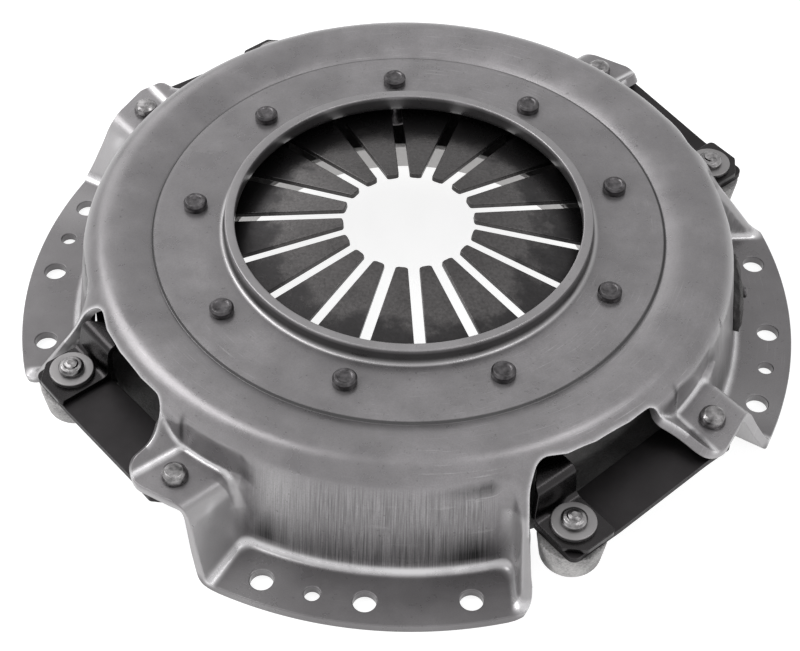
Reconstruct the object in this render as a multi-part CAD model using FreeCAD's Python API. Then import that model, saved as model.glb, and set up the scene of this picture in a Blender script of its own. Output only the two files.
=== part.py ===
import FreeCAD, Part
import math
import os

os.makedirs("parts", exist_ok=True)

# All sizes are in mm and all angles in degrees.
# Z is zero on the underside of the flange, which bolts to the flywheel.
# Positive Z points to the release side. A sector is a quarter, centred on +X.

# Pressed cover sheet, its widths counted from the flange rim inwards
SECTORS = 4
QUARTER = 360.0 / SECTORS
SHEET = 5.0
FLANGE_R = 200.0
FLANGE_WIDTH = 30.0
WALL_LEAN = 7.7
FOOT_BEND = 4.0
SHOULDER_WIDTH = 21.0
CREST_Z = 66.3
RISE_WIDTH = 21.5
ANNULUS_DROP = 3.8
STEP_RUN = 1.2
STEP_DROP = 1.2
ANNULUS_WIDTH = 35.6
COLLAR_BEND = 3.0
COLLAR_RISE = 8.3
COLLAR_CHAMFER = 0.8

# Bolt and dowel holes in each flange sector
BOLT_INSET = 12.2
BOLT_STEP = 15.0
BOLT_HOLE_R = 5.5
DOWEL_HOLE_R = 3.8
DOWEL_ANGLE = -7.5

# Strap ears, placed from the middle of a sector and from the foot of the wall
EAR_ANGLE = 30.75
EAR_OUT = 9.0
EAR_Z = 41.0
EAR_EDGE_OUT = 12.8
EAR_EDGE_DIP = 2.0
EAR_EDGE_FLARE = 3.0
EAR_EDGE_SPAN = 7.25
EAR_EDGE_TURN = 4.75
EAR_EDGE_BENDS = [0, 30, 40, 12, 12, 0, 0]
EAR_RIB_OFFSET = 12.6
EAR_RIB_SKEW = 16.0
EAR_RIB_SLOPE = 40.4
EAR_RIB_SPREAD = 24.0
EAR_FOLD_OFFSET = 13.4
EAR_FOLD_SKEW = 20.0
EAR_FOLD_IN = 25.5
TOE_ANGLE = 21.15
TOE_OUT = 4.5
TOE_TURN = 2.0
TOE_PAST_RIM = 1.0
FOLD_BEND = 3.0

# Plate lugs, one strap away from the ears
LUG_OUT = 9.5
LUG_BOSS_R = 16.5
LUG_WEB_HALF = 8.0
LUG_FOOT_Z = 10.0
LUG_PAD = 1.1

# Ribs that close the pocket above each flange sector
GUSSET_BOLT_GAP = 19.6
GUSSET_LEAN = 4.5
GUSSET_TOP_DROP = 12.8

# Window beside each sector, from the gusset round to the next ear
WINDOW_IN = 9.4
WINDOW_DIP = 0.8
WINDOW_LIP = 3.6
WINDOW_START = 31.5
WINDOW_UNDER_START = 29.0
WINDOW_MIDDLE = 41.0
WINDOW_BEND = 12.0
WINDOW_SWEEP = 60.0
GUSSET_LIP = 9.0
GUSSET_NECK = 2.3
GUSSET_CORNER_OUT = 8.9
GUSSET_CORNER_CUT = 4.0
EAR_INNER_OUT = 1.0
EAR_INNER_SIDE = 18.0
EAR_INNER_BEND = 8.0
EAR_SIDE = 20.0
EAR_SIDE_IN = 4.8
EAR_CORNER = 14.0
EAR_CORNER_OUT = 2.0
EAR_CORNER_BEND = 8.0
EAR_CORNER_SMALL = 2.0

# Straps
STRAP_WIDTH = 28.0
STRAP_LEAF = 1.2
STRAP_LEAVES = 3
STRAP_DROP = 5.0
STRAP_END = 7.0
STRAP_TAIL = 12.5
STRAP_CHAMFER = 8.0
STRAP_FLAT = 17.0

# Rivets and washers
PIN_R = 5.0
PIN_GAP = 0.1
EAR_HEAD_R = 6.6
EAR_HEAD_H = 5.0
LUG_HEAD_R = 6.2
LUG_HEAD_H = 3.0
NIB_R = 3.4
NIB_H = 1.6
TAIL_R = 7.5
TAIL_H = 3.0
WASHER_R = 10.75
WASHER_H = 2.5
WASHER_EDGE = 0.4
EDGE = 0.8

# Retraction clips
CLIP_T = 3.0
CLIP_WIDTH = 26.0
CLIP_OUT = 15.0
CLIP_RISE = 12.0
CLIP_RISE_RUN = 2.0
CLIP_BITE = 4.0
CLIP_WAIST = 0.5
CLIP_NECK = 9.4
CLIP_CHAMFER = 8.0

# Spring with its two fulcrum rings
FINGERS = 18
SPRING_T = 2.8
SPRING_SLOPE = 9.27
SPRING_INSET = 5.0
TIP_R = 33.0
SLOT_WIDTH = 5.6
TIP_CHAMFER = 0.8
KEYHOLE_R = 6.5
WIRE_R = 2.5
WIRE_INSET = 10.0
SEAT_GAP = 0.3

# Spacer rivets through the annulus
SPACERS = 9
SPACER_START = 180.0
SPACER_INSET = 9.3
SPACER_HEAD_R = 5.9
SPACER_HEAD_H = 4.3
SPACER_SHANK_R = 4.0
SPACER_BODY_R = 4.6
SPACER_FOOT_R = 11.0
SPACER_FOOT_H = 3.0

# Pressure plate
PLATE_BORE_INSET = 40.6
FACE_Z = 9.6
PLATE_CHAMFER = 1.5
PLATE_GAP = 1.6
LIFT = 2.0
RIDGE_INSET = 6.0
RIDGE_HALF = 2.5
RIDGE_ROOT = 7.0

# Balance weight on one wall
WEIGHT_ANGLE = 3.0
WEIGHT_SPAN = 13.0
WEIGHT_T = 5.0
WEIGHT_LOW_Z = 14.0
WEIGHT_HIGH_Z = 34.0
WEIGHT_PIN_R = 3.0
WEIGHT_PIN_H = 1.5
WEIGHT_PIN_DEPTH = 1.0

# Values worked out from the ones above
BELOW = -10.0
FAR = 40.0
PAST_RIM = 20.0
HALVINGS = 30
RIB_SPOT = 0.3
WALL_FOOT_R = FLANGE_R - FLANGE_WIDTH
CREST_R = WALL_FOOT_R - SHOULDER_WIDTH
ANNULUS_R = CREST_R - RISE_WIDTH
ANNULUS_Z = CREST_Z - ANNULUS_DROP
COLLAR_OUT_R = ANNULUS_R - ANNULUS_WIDTH
COLLAR_TOP_Z = ANNULUS_Z + COLLAR_RISE
BOLT_CIRCLE_R = FLANGE_R - BOLT_INSET
EAR_R = WALL_FOOT_R + EAR_OUT
LUG_R = WALL_FOOT_R + LUG_OUT
WINDOW_R = WALL_FOOT_R - WINDOW_IN
SPRING_RIM_R = CREST_R - SPRING_INSET
WIRE_CIRCLE_R = ANNULUS_R - WIRE_INSET
SPACER_R = WIRE_CIRCLE_R - SPACER_INSET
RIDGE_R = SPRING_RIM_R - RIDGE_INSET
PLATE_BORE_R = RIDGE_R - PLATE_BORE_INSET
CLIP_TIP_R = SPRING_RIM_R - CLIP_BITE
LEAN = math.radians(WALL_LEAN)
WALL_NORMAL = (math.cos(LEAN), math.sin(LEAN))
ANNULUS_UNDER_Z = ANNULUS_Z - SHEET
COLLAR_IN_R = COLLAR_OUT_R - SHEET
EAR_UNDER_Z = EAR_Z - SHEET
EAR_EDGE_R = EAR_R + EAR_EDGE_OUT
STRAP_PACK = STRAP_LEAF * STRAP_LEAVES
CLIP_UNDER_Z = EAR_UNDER_Z - STRAP_DROP
CLIP_TOP_Z = CLIP_UNDER_Z + CLIP_T
LUG_TOP_Z = CLIP_UNDER_Z - STRAP_PACK
WASHER_TOP_Z = CLIP_TOP_Z + WASHER_H
PLATE_TOP_Z = LUG_TOP_Z - LUG_PAD
SLOPE = math.radians(SPRING_SLOPE)
SPRING_RISE = SPRING_T / math.cos(SLOPE)
WIRE_REACH = WIRE_R / math.cos(SLOPE) + SEAT_GAP
SPRING_TOP_Z = ANNULUS_UNDER_Z - SEAT_GAP - WIRE_R - WIRE_REACH


def vec(x, y, z=0.0):
    return FreeCAD.Vector(x, y, z)


UP = vec(0, 0, 1)
HOME = vec(0, 0, 0)


def polar(r, angle, z=0.0):
    a = math.radians(angle)
    return vec(r * math.cos(a), r * math.sin(a), z)


def turned(shape, angle):
    copy = shape.copy()
    copy.rotate(HOME, UP, angle)
    return copy


def moved(shape, x, y, z):
    copy = shape.copy()
    copy.translate(vec(x, y, z))
    return copy


def repeated(shape, count, first=0.0):
    return [turned(shape, first + 360.0 / count * k) for k in range(count)]


def fused(shapes):
    whole = shapes[0]
    if len(shapes) > 1:
        whole = whole.fuse(shapes[1:])
    return whole.removeSplitter()


def section(steps):
    """A closed section in the XZ plane from points, each (r, z), and arcs, each (middle, end)."""
    edges = []
    here = steps[0]
    for step in steps[1:] + [steps[0]]:
        if isinstance(step[0], tuple):
            middle, end = step
            a = vec(here[0], 0, here[1])
            b = vec(middle[0], 0, middle[1])
            c = vec(end[0], 0, end[1])
            edges.append(Part.Arc(a, b, c).toShape())
            here = end
        else:
            a = vec(here[0], 0, here[1])
            c = vec(step[0], 0, step[1])
            edges.append(Part.makeLine(a, c))
            here = step
    return Part.Face(Part.Wire(edges))


def revolved(steps):
    return section(steps).revolve(HOME, UP, 360)


def on_arc(centre, radius, angle):
    a = math.radians(angle)
    return (centre[0] + radius * math.cos(a), centre[1] + radius * math.sin(a))


def bend(centre, radius, start, end):
    """An arc step about a centre, from one angle to another."""
    return (on_arc(centre, radius, (start + end) / 2), on_arc(centre, radius, end))


def plate(points, low, high):
    """A flat plate between two heights, with an outline of points."""
    ring = [vec(p.x, p.y, low) for p in points]
    face = Part.Face(Part.makePolygon(ring + [ring[0]]))
    return face.extrude(vec(0, 0, high - low))


def rounded(points, radii):
    """A closed outline in the XY plane with a radius at each corner."""
    edges = []
    n = len(points)
    cuts = []
    for k in range(n):
        p, a, b = points[k], points[k - 1], points[(k + 1) % n]
        u = (a - p).normalize()
        v = (b - p).normalize()
        half = u.getAngle(v) / 2
        reach = radii[k] / math.tan(half)
        middle = p + (u + v).normalize() * (radii[k] / math.sin(half) - radii[k])
        cuts.append((p + u * reach, middle, p + v * reach))
    for k in range(n):
        start, middle, end = cuts[k]
        if radii[k] > 0:
            edges.append(Part.Arc(start, middle, end).toShape())
        edges.append(Part.makeLine(end, cuts[(k + 1) % n][0]))
    return Part.Face(Part.Wire(edges))


def polyhedron(top, low):
    """A solid under two triangles that share the edge from corner 0 to corner 2."""
    base = [vec(p.x, p.y, low) for p in top]
    faces = [(top[0], top[1], top[2]), (top[0], top[2], top[3]), tuple(base)]
    for k in range(len(top)):
        j = (k + 1) % len(top)
        faces.append((top[k], top[j], base[j], base[k]))
    skins = [Part.Face(Part.makePolygon(list(f) + [f[0]])) for f in faces]
    solid = Part.makeSolid(Part.makeShell(skins))
    if solid.Volume < 0:
        solid.reverse()
    return solid


def eased(shape, spots, radius):
    """The shape with a bend along the edge nearest to each spot; without room they stay sharp."""
    edges = [min(shape.Edges, key=lambda e: e.distToShape(Part.Vertex(p))[0]) for p in spots]
    try:
        bent = shape.makeFillet(radius, edges)
    except Part.OCCError:
        return shape
    return bent if bent.isValid() else shape


def wall_r(z, depth=0.0):
    """Radius of the cover wall at a height, measured some depth inside its outer face."""
    return WALL_FOOT_R - (z - SHEET) * math.tan(LEAN) - depth / math.cos(LEAN)


# Cover section: the outer face is one chain, the inner face is the same chain one sheet inside
rise_run = CREST_R - ANNULUS_R - STEP_RUN
rise = CREST_Z - ANNULUS_Z + STEP_DROP
rise_radius = (rise_run ** 2 + rise ** 2) / (2 * rise)
rise_centre = (CREST_R, CREST_Z - rise_radius)
rise_start = 90 + math.degrees(math.asin(rise_run / rise_radius))
slack = (WALL_FOOT_R - CREST_R) * WALL_NORMAL[0] - (CREST_Z - SHEET) * WALL_NORMAL[1]
shoulder_radius = slack / (1 - WALL_NORMAL[1])
shoulder_centre = (CREST_R, CREST_Z - shoulder_radius)
foot_centre = (WALL_FOOT_R + FOOT_BEND * (1 - WALL_NORMAL[1]) / WALL_NORMAL[0], SHEET + FOOT_BEND)
collar_centre = (COLLAR_OUT_R + COLLAR_BEND, ANNULUS_Z + COLLAR_BEND)

outer_chain = [
    (COLLAR_IN_R, 0.0),
    (COLLAR_IN_R, COLLAR_TOP_Z - COLLAR_CHAMFER),
    (COLLAR_IN_R + COLLAR_CHAMFER, COLLAR_TOP_Z),
    (COLLAR_OUT_R - COLLAR_CHAMFER, COLLAR_TOP_Z),
    (COLLAR_OUT_R, COLLAR_TOP_Z - COLLAR_CHAMFER),
    on_arc(collar_centre, COLLAR_BEND, 180),
    bend(collar_centre, COLLAR_BEND, 180, 270),
    (ANNULUS_R, ANNULUS_Z),
    (ANNULUS_R + STEP_RUN, ANNULUS_Z - STEP_DROP),
    bend(rise_centre, rise_radius, rise_start, 90),
    bend(shoulder_centre, shoulder_radius, 90, WALL_LEAN),
    on_arc(foot_centre, FOOT_BEND, 180 + WALL_LEAN),
    bend(foot_centre, FOOT_BEND, 180 + WALL_LEAN, 270),
    (foot_centre[0], 0.0),
]
inner_rise = on_arc(rise_centre, rise_radius - SHEET, rise_start)
inner_chain = [
    (COLLAR_IN_R - SHEET, BELOW),
    (COLLAR_IN_R - SHEET, collar_centre[1]),
    (COLLAR_IN_R, collar_centre[1]),
    bend(collar_centre, COLLAR_BEND + SHEET, 180, 270),
    (inner_rise[0] - STEP_RUN, ANNULUS_UNDER_Z),
    inner_rise,
    bend(rise_centre, rise_radius - SHEET, rise_start, 90),
    bend(shoulder_centre, shoulder_radius - SHEET, 90, WALL_LEAN),
    on_arc(foot_centre, FOOT_BEND + SHEET, 180 + WALL_LEAN),
    bend(foot_centre, FOOT_BEND + SHEET, 180 + WALL_LEAN, 270),
    (foot_centre[0], BELOW),
]
dome = revolved(outer_chain)
dome_hollow = revolved(inner_chain)
flange_ring = Part.makeCylinder(FLANGE_R, SHEET).cut(Part.makeCylinder(foot_centre[0] - SHEET, SHEET))

# Ear: a flat floor, a rib that climbs towards the window, and a slope down to the flange


def line_at(angle, offset, skew, z, inward, outward):
    """A line across an ear, beside the radius through its rivet and skewed to it."""
    centre = vec(EAR_R, offset, z)
    run = polar(1.0, skew)
    turn = FreeCAD.Rotation(UP, angle)
    return turn.multVec(centre - run * inward), turn.multVec(centre + run * outward)


fold_a, fold_b = line_at(-EAR_ANGLE, -EAR_RIB_OFFSET, -EAR_RIB_SKEW, EAR_Z, FAR, FAR)
bend_a, bend_b = line_at(-EAR_ANGLE, EAR_FOLD_OFFSET, -EAR_FOLD_SKEW, EAR_Z, EAR_FOLD_IN, FAR)
toe_a = polar(WALL_FOOT_R, -TOE_ANGLE, SHEET)
toe_b = polar(FLANGE_R + EAR_OUT, -TOE_ANGLE, SHEET)
floor = plate([fold_a, fold_b, bend_b, bend_a], 0.0, EAR_Z)
slope = polyhedron([bend_a, bend_b, toe_b, toe_a], 0.0)
along = (fold_b - fold_a).normalize()
away = along.cross(UP)
rib_top = EAR_RIB_SPREAD * math.tan(math.radians(EAR_RIB_SLOPE))
rib_face = [fold_a, fold_a + away * EAR_RIB_SPREAD + UP * rib_top]
rib_face.append(fold_a + away * EAR_RIB_SPREAD - UP * EAR_Z)
rib_face.append(fold_a - UP * EAR_Z)
rib = Part.Face(Part.makePolygon(rib_face + [rib_face[0]])).extrude(fold_b - fold_a)
rib_drop = SHEET / math.cos(math.radians(EAR_RIB_SLOPE))
ear = [floor, slope, rib]
under_fold = away * ((rib_drop - SHEET) / math.tan(math.radians(EAR_RIB_SLOPE)))
floor_hollow = plate([fold_a + under_fold, fold_b + under_fold, bend_b, bend_a], BELOW, EAR_UNDER_Z)
ear_hollow = [floor_hollow, moved(slope, 0, -SHEET, -SHEET), moved(rib, 0, 0, -rib_drop)]

# Rib at the other end of the pocket, one leaning sheet between wall and flange corner
gusset_high = CREST_Z - GUSSET_TOP_DROP
gusset_foot_y = BOLT_CIRCLE_R * math.sin(math.radians(BOLT_STEP)) + GUSSET_BOLT_GAP


def on_gusset(x, z):
    return vec(x, gusset_foot_y - z * math.tan(math.radians(GUSSET_LEAN)), z)


gusset_end_x = math.sqrt(FLANGE_R ** 2 - gusset_foot_y ** 2)
gusset_outline = [
    on_gusset(CREST_R - SHEET, 0.0),
    on_gusset(gusset_end_x, 0.0),
    on_gusset(gusset_end_x, SHEET),
    on_gusset(CREST_R, gusset_high),
    on_gusset(CREST_R - SHEET, gusset_high),
]
gusset = Part.Face(Part.makePolygon(gusset_outline + [gusset_outline[0]])).extrude(vec(0, FAR, 0))
gusset_fall = math.atan2(gusset_high - SHEET, gusset_end_x - CREST_R)
gusset_drop = SHEET / math.cos(gusset_fall)
gusset_hollow = moved(gusset, 0, SHEET, -gusset_drop).fuse(moved(gusset, -SHEET, SHEET, -2 * SHEET))

# Spots on the folds that are bent: the ear's own folds, and where ear and rib meet wall and flange


def leaves_wall(a, b):
    """The spot on the line from a, inside the wall, to b, outside it, where it crosses the wall."""
    for _ in range(HALVINGS):
        middle = (a + b) / 2
        if math.hypot(middle.x, middle.y) < wall_r(middle.z):
            a = middle
        else:
            b = middle
    return a


up_rib = (away * EAR_RIB_SPREAD + UP * rib_top) * RIB_SPOT
low_middle = (SHEET + EAR_Z) / 2
rib_corner = leaves_wall(fold_a, fold_b)
bend_corner = leaves_wall(bend_a, bend_b)
slope_corner = leaves_wall(bend_a, toe_b)
fold_spots = [
    (rib_corner + fold_b) / 2,
    (bend_corner + bend_b) / 2,
    (slope_corner + toe_b) / 2,
    (toe_a + toe_b) / 2,
    leaves_wall(fold_a + up_rib, fold_b + up_rib),
    (rib_corner + bend_corner) / 2,
    (bend_corner + slope_corner) / 2,
    polar(wall_r(low_middle), -TOE_ANGLE, low_middle),
]
gusset_spots = [on_gusset((WALL_FOOT_R + gusset_end_x) / 2, SHEET)]

# Window beside each sector, cut straight down
WINDOW_BENDS = [0, GUSSET_CORNER_CUT, WINDOW_BEND, WINDOW_BEND, WINDOW_SWEEP]
WINDOW_BENDS += [EAR_INNER_BEND, EAR_INNER_BEND, EAR_CORNER_BEND, EAR_CORNER_SMALL, 0, 0]


def beside_ear(r, y):
    """A point beside the next ear, at a radius and a distance from its middle line."""
    return polar(r, QUARTER - EAR_ANGLE - math.degrees(math.asin(y / r)))


def window_cutter(inner_r, first, top):
    points = [
        vec(FLANGE_R + PAST_RIM, gusset_foot_y - GUSSET_CORNER_CUT),
        vec(WALL_FOOT_R + GUSSET_CORNER_OUT, gusset_foot_y + GUSSET_LIP),
        vec(CREST_R + STEP_RUN, gusset_foot_y + GUSSET_NECK),
        polar(inner_r, first),
        polar(inner_r + WINDOW_DIP, WINDOW_MIDDLE),
        beside_ear(inner_r + WINDOW_DIP, EAR_INNER_SIDE + EAR_INNER_BEND),
        beside_ear(WALL_FOOT_R + EAR_INNER_OUT, EAR_INNER_SIDE),
        beside_ear(EAR_EDGE_R - EAR_SIDE_IN, EAR_SIDE),
        beside_ear(EAR_EDGE_R + EAR_CORNER_OUT, EAR_CORNER),
        beside_ear(FLANGE_R + PAST_RIM, EAR_CORNER - EAR_SIDE_IN),
        polar(FLANGE_R + FAR, WINDOW_MIDDLE),
    ]
    cutter = rounded(points, WINDOW_BENDS).extrude(vec(0, 0, top - BELOW))
    return moved(cutter, 0, 0, BELOW)


under_top = CREST_Z - 2 * SHEET - WINDOW_LIP / 2
window = window_cutter(WINDOW_R, WINDOW_START, CREST_Z)
window_under = window_cutter(WINDOW_R - WINDOW_LIP, WINDOW_UNDER_START, under_top)

# Outer edge of the ear and of its slope
edge_points = [
    polar(FLANGE_R + FAR, -EAR_ANGLE - 2 * EAR_EDGE_SPAN),
    polar(EAR_EDGE_R + EAR_EDGE_FLARE, -EAR_ANGLE - EAR_EDGE_SPAN),
    polar(EAR_EDGE_R, -EAR_ANGLE),
    polar(EAR_EDGE_R - EAR_EDGE_DIP, EAR_EDGE_TURN - EAR_ANGLE),
    polar(EAR_EDGE_R + TOE_OUT, -TOE_ANGLE - TOE_TURN),
    polar(FLANGE_R + TOE_PAST_RIM, -TOE_ANGLE),
    polar(FLANGE_R + FAR, TOE_TURN - TOE_ANGLE),
]
ear_trim = rounded(edge_points, EAR_EDGE_BENDS).extrude(vec(0, 0, CREST_Z - BELOW))
ear_trim.translate(vec(0, 0, BELOW))


def upright(r, angle, radius, low, high):
    base = polar(r, angle, low)
    return Part.makeCylinder(radius, high - low, base, UP)


holes = [
    upright(BOLT_CIRCLE_R, -BOLT_STEP, BOLT_HOLE_R, BELOW, SHEET - BELOW),
    upright(BOLT_CIRCLE_R, 0.0, BOLT_HOLE_R, BELOW, SHEET - BELOW),
    upright(BOLT_CIRCLE_R, BOLT_STEP, BOLT_HOLE_R, BELOW, SHEET - BELOW),
    upright(BOLT_CIRCLE_R, DOWEL_ANGLE, DOWEL_HOLE_R, BELOW, SHEET - BELOW),
    upright(EAR_R, -EAR_ANGLE, PIN_R + PIN_GAP, EAR_UNDER_Z - SHEET, EAR_Z + SHEET),
]
solid_parts = [dome, flange_ring]
hollow_parts = [dome_hollow]
for k in range(SECTORS):
    for shape in ear + [gusset]:
        solid_parts.append(turned(shape, QUARTER * k))
    for shape in ear_hollow + [gusset_hollow]:
        hollow_parts.append(turned(shape, QUARTER * k))
cuts = []
for k in range(SECTORS):
    for shape in [window, window_under, ear_trim] + holes:
        cuts.append(turned(shape, QUARTER * k))
spacer_hole_r = SPACER_SHANK_R + PIN_GAP
spacer_hole = upright(SPACER_R, SPACER_START, spacer_hole_r, ANNULUS_UNDER_Z - SHEET, ANNULUS_Z + SHEET)
cuts += repeated(spacer_hole, SPACERS)
cover = solid_parts[0].fuse(solid_parts[1:]).removeSplitter()
for k in range(SECTORS):
    turn = FreeCAD.Rotation(UP, QUARTER * k)
    cover = eased(cover, [turn.multVec(p) for p in fold_spots], FOLD_BEND)
    cover = eased(cover, [turn.multVec(p) for p in gusset_spots], FOLD_BEND)
cover = cover.cut(hollow_parts)
cover = cover.cut(cuts)
cover = cover.common(Part.makeCylinder(FLANGE_R, COLLAR_TOP_Z + SHEET)).removeSplitter()
cover = max(cover.Solids, key=lambda s: s.Volume)

# Diaphragm spring: a slotted cone that turns about the two wire rings


def spring_top(r):
    return SPRING_TOP_Z - (r - WIRE_CIRCLE_R) * math.tan(SLOPE)


blank = revolved([
    (TIP_R, spring_top(TIP_R)),
    (SPRING_RIM_R, spring_top(SPRING_RIM_R)),
    (SPRING_RIM_R, spring_top(SPRING_RIM_R) - SPRING_RISE),
    (TIP_R, spring_top(TIP_R) - SPRING_RISE),
])
slot_half = SLOT_WIDTH / 2
slot = plate([
    vec(TIP_R - SHEET, slot_half + TIP_CHAMFER + SHEET),
    vec(TIP_R + TIP_CHAMFER, slot_half),
    vec(SPACER_R, slot_half),
    vec(SPACER_R, -slot_half),
    vec(TIP_R + TIP_CHAMFER, -slot_half),
    vec(TIP_R - SHEET, -slot_half - TIP_CHAMFER - SHEET),
], 0.0, CREST_Z + FAR)
keyhole = upright(SPACER_R, 0.0, KEYHOLE_R, 0.0, CREST_Z + FAR)
slot = slot.fuse(keyhole)
spring = blank.cut(repeated(slot, FINGERS, 0.0))
spring = spring.removeSplitter()

# Fulcrum rings above and below the spring
upper_ring_z = ANNULUS_UNDER_Z - SEAT_GAP - WIRE_R
lower_ring_z = SPRING_TOP_Z - SPRING_RISE - WIRE_REACH
upper_ring = Part.makeTorus(WIRE_CIRCLE_R, WIRE_R, vec(0, 0, upper_ring_z))
lower_ring = Part.makeTorus(WIRE_CIRCLE_R, WIRE_R, vec(0, 0, lower_ring_z))


def turned_pin(steps, r, angle, z):
    """A round pin from its section, set upright at a radius and angle."""
    pin = revolved(steps)
    p = polar(r, angle, z)
    return moved(pin, p.x, p.y, p.z)


# Spacer rivets: head on the annulus, body through the spring, foot under the lower ring
foot_top = lower_ring_z - WIRE_R - SEAT_GAP
spacer_steps = [
    (0.0, foot_top - SPACER_FOOT_H - ANNULUS_Z),
    (SPACER_FOOT_R - EDGE, foot_top - SPACER_FOOT_H - ANNULUS_Z),
    (SPACER_FOOT_R, foot_top - SPACER_FOOT_H - ANNULUS_Z + EDGE),
    (SPACER_FOOT_R, foot_top - ANNULUS_Z),
    (SPACER_BODY_R, foot_top - ANNULUS_Z),
    (SPACER_BODY_R, -SHEET),
    (SPACER_SHANK_R, -SHEET),
    (SPACER_SHANK_R, 0.0),
    (SPACER_HEAD_R, 0.0),
    (SPACER_HEAD_R, SPACER_HEAD_H - EDGE),
    (SPACER_HEAD_R - EDGE, SPACER_HEAD_H),
    (0.0, SPACER_HEAD_H),
]
spacer_angles = [SPACER_START + 360.0 / SPACERS * k for k in range(SPACERS)]
spacers = Part.makeCompound([turned_pin(spacer_steps, SPACER_R, a, ANNULUS_Z) for a in spacer_angles])

# Pressure plate: a cast ring with a fulcrum ridge and four lugs
plate_top_r = wall_r(PLATE_TOP_Z + LIFT, SHEET) - PLATE_GAP
ridge_z = spring_top(RIDGE_R + RIDGE_HALF) - SPRING_RISE - SEAT_GAP
plate_ring = revolved([
    (PLATE_BORE_R + EDGE, FACE_Z),
    (plate_top_r - EDGE, FACE_Z),
    (plate_top_r, FACE_Z + EDGE),
    (plate_top_r, PLATE_TOP_Z - PLATE_CHAMFER),
    (plate_top_r - PLATE_CHAMFER, PLATE_TOP_Z),
    (RIDGE_R + RIDGE_ROOT, PLATE_TOP_Z),
    (RIDGE_R + RIDGE_HALF, ridge_z),
    (RIDGE_R - RIDGE_HALF, ridge_z),
    (RIDGE_R - RIDGE_ROOT, PLATE_TOP_Z),
    (PLATE_BORE_R + PLATE_CHAMFER, PLATE_TOP_Z),
    (PLATE_BORE_R, PLATE_TOP_Z - PLATE_CHAMFER),
    (PLATE_BORE_R, FACE_Z + EDGE),
])
boss_draft = (LUG_TOP_Z - LUG_FOOT_Z) * math.tan(LEAN)
boss = revolved([
    (0.0, LUG_FOOT_Z),
    (LUG_BOSS_R - boss_draft - EDGE, LUG_FOOT_Z),
    (LUG_BOSS_R - boss_draft, LUG_FOOT_Z + EDGE),
    (LUG_BOSS_R, LUG_TOP_Z),
    (0.0, LUG_TOP_Z),
])
boss = moved(boss, LUG_R, 0, 0)
web = plate([
    vec(plate_top_r - SHEET, -LUG_WEB_HALF),
    vec(LUG_R, -LUG_WEB_HALF),
    vec(LUG_R, LUG_WEB_HALF),
    vec(plate_top_r - SHEET, LUG_WEB_HALF),
], LUG_FOOT_Z, PLATE_TOP_Z - EDGE)
lug = boss.fuse(web)
lug = lug.cut(upright(LUG_R, 0.0, PIN_R + PIN_GAP, 0.0, LUG_TOP_Z + FAR))
lug = lug.cut(upright(LUG_R, 0.0, TAIL_R + PIN_GAP, 0.0, LUG_FOOT_Z + TAIL_H + EDGE))
lugs = [turned(lug, EAR_ANGLE + QUARTER * k) for k in range(SECTORS)]
pressure_plate = fused([plate_ring] + lugs)

# Straps: each pack runs from a lug to the next ear, one leaf on another
lug_spot = polar(LUG_R, EAR_ANGLE)
ear_spot = polar(EAR_R, QUARTER - EAR_ANGLE)
reach = ear_spot - lug_spot
pitch = reach.Length
heading = math.degrees(math.atan2(reach.y, reach.x))
half = STRAP_WIDTH / 2
strap_outline = [
    vec(-STRAP_TAIL, -half),
    vec(pitch + STRAP_END - STRAP_CHAMFER, -half),
    vec(pitch + STRAP_END, STRAP_CHAMFER - half),
    vec(pitch + STRAP_END, half - STRAP_CHAMFER),
    vec(pitch + STRAP_END - STRAP_CHAMFER, half),
    vec(-STRAP_TAIL, half),
]


def leaf(level):
    """One strap leaf: flat on the lug, a gentle ramp, flat under the ear."""
    low = LUG_TOP_Z + STRAP_LEAF * level
    high = low + STRAP_DROP
    upper = [
        (-STRAP_TAIL, low),
        (STRAP_FLAT, low),
        (pitch - STRAP_FLAT, high),
        (pitch + STRAP_END, high),
    ]
    lower = [(x, z + STRAP_LEAF) for x, z in reversed(upper)]
    side = [vec(x, -half, z) for x, z in upper + lower]
    body = Part.Face(Part.makePolygon(side + [side[0]])).extrude(vec(0, STRAP_WIDTH, 0))
    body = body.common(plate(strap_outline, 0.0, CREST_Z))
    body = body.cut(Part.makeCylinder(PIN_R + PIN_GAP, CREST_Z))
    body = body.cut(Part.makeCylinder(PIN_R + PIN_GAP, CREST_Z, vec(pitch, 0, 0)))
    body.rotate(HOME, UP, heading)
    return moved(body, lug_spot.x, lug_spot.y, 0)


# Retraction clips: a foot on the strap end, a riser, and a tongue over the spring rim
tongue_z = spring_top(CLIP_TIP_R) + SEAT_GAP
riser_out = -CLIP_RISE
riser_in = riser_out - CLIP_RISE_RUN
tip_x = CLIP_TIP_R - LUG_R
clip_side = [
    (CLIP_OUT, CLIP_UNDER_Z),
    (CLIP_OUT, CLIP_TOP_Z),
    (riser_out, CLIP_TOP_Z),
    (riser_in, tongue_z + CLIP_T),
    (tip_x, tongue_z + CLIP_T),
    (tip_x, tongue_z),
    (riser_in - CLIP_T, tongue_z),
    (riser_out - CLIP_T, CLIP_UNDER_Z),
]
clip_half = CLIP_WIDTH / 2
clip_face = [vec(x, -clip_half, z) for x, z in clip_side]
clip = Part.Face(Part.makePolygon(clip_face + [clip_face[0]])).extrude(vec(0, CLIP_WIDTH, 0))
clip_corner = plate([
    vec(CLIP_OUT - CLIP_CHAMFER, -clip_half),
    vec(CLIP_OUT, -clip_half),
    vec(CLIP_OUT, CLIP_CHAMFER - clip_half),
], 0.0, CREST_Z)
clip_relief = plate([
    vec(riser_out, -clip_half),
    vec(riser_in - CLIP_T, -CLIP_NECK),
    vec(riser_in - 2 * CLIP_T, -CLIP_WAIST),
    vec(tip_x - CLIP_T, -CLIP_WAIST),
    vec(tip_x - CLIP_T, -clip_half - CLIP_T),
    vec(riser_out, -clip_half - CLIP_T),
], 0.0, CREST_Z)
clip = clip.cut([clip_corner, clip_relief])
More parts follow.
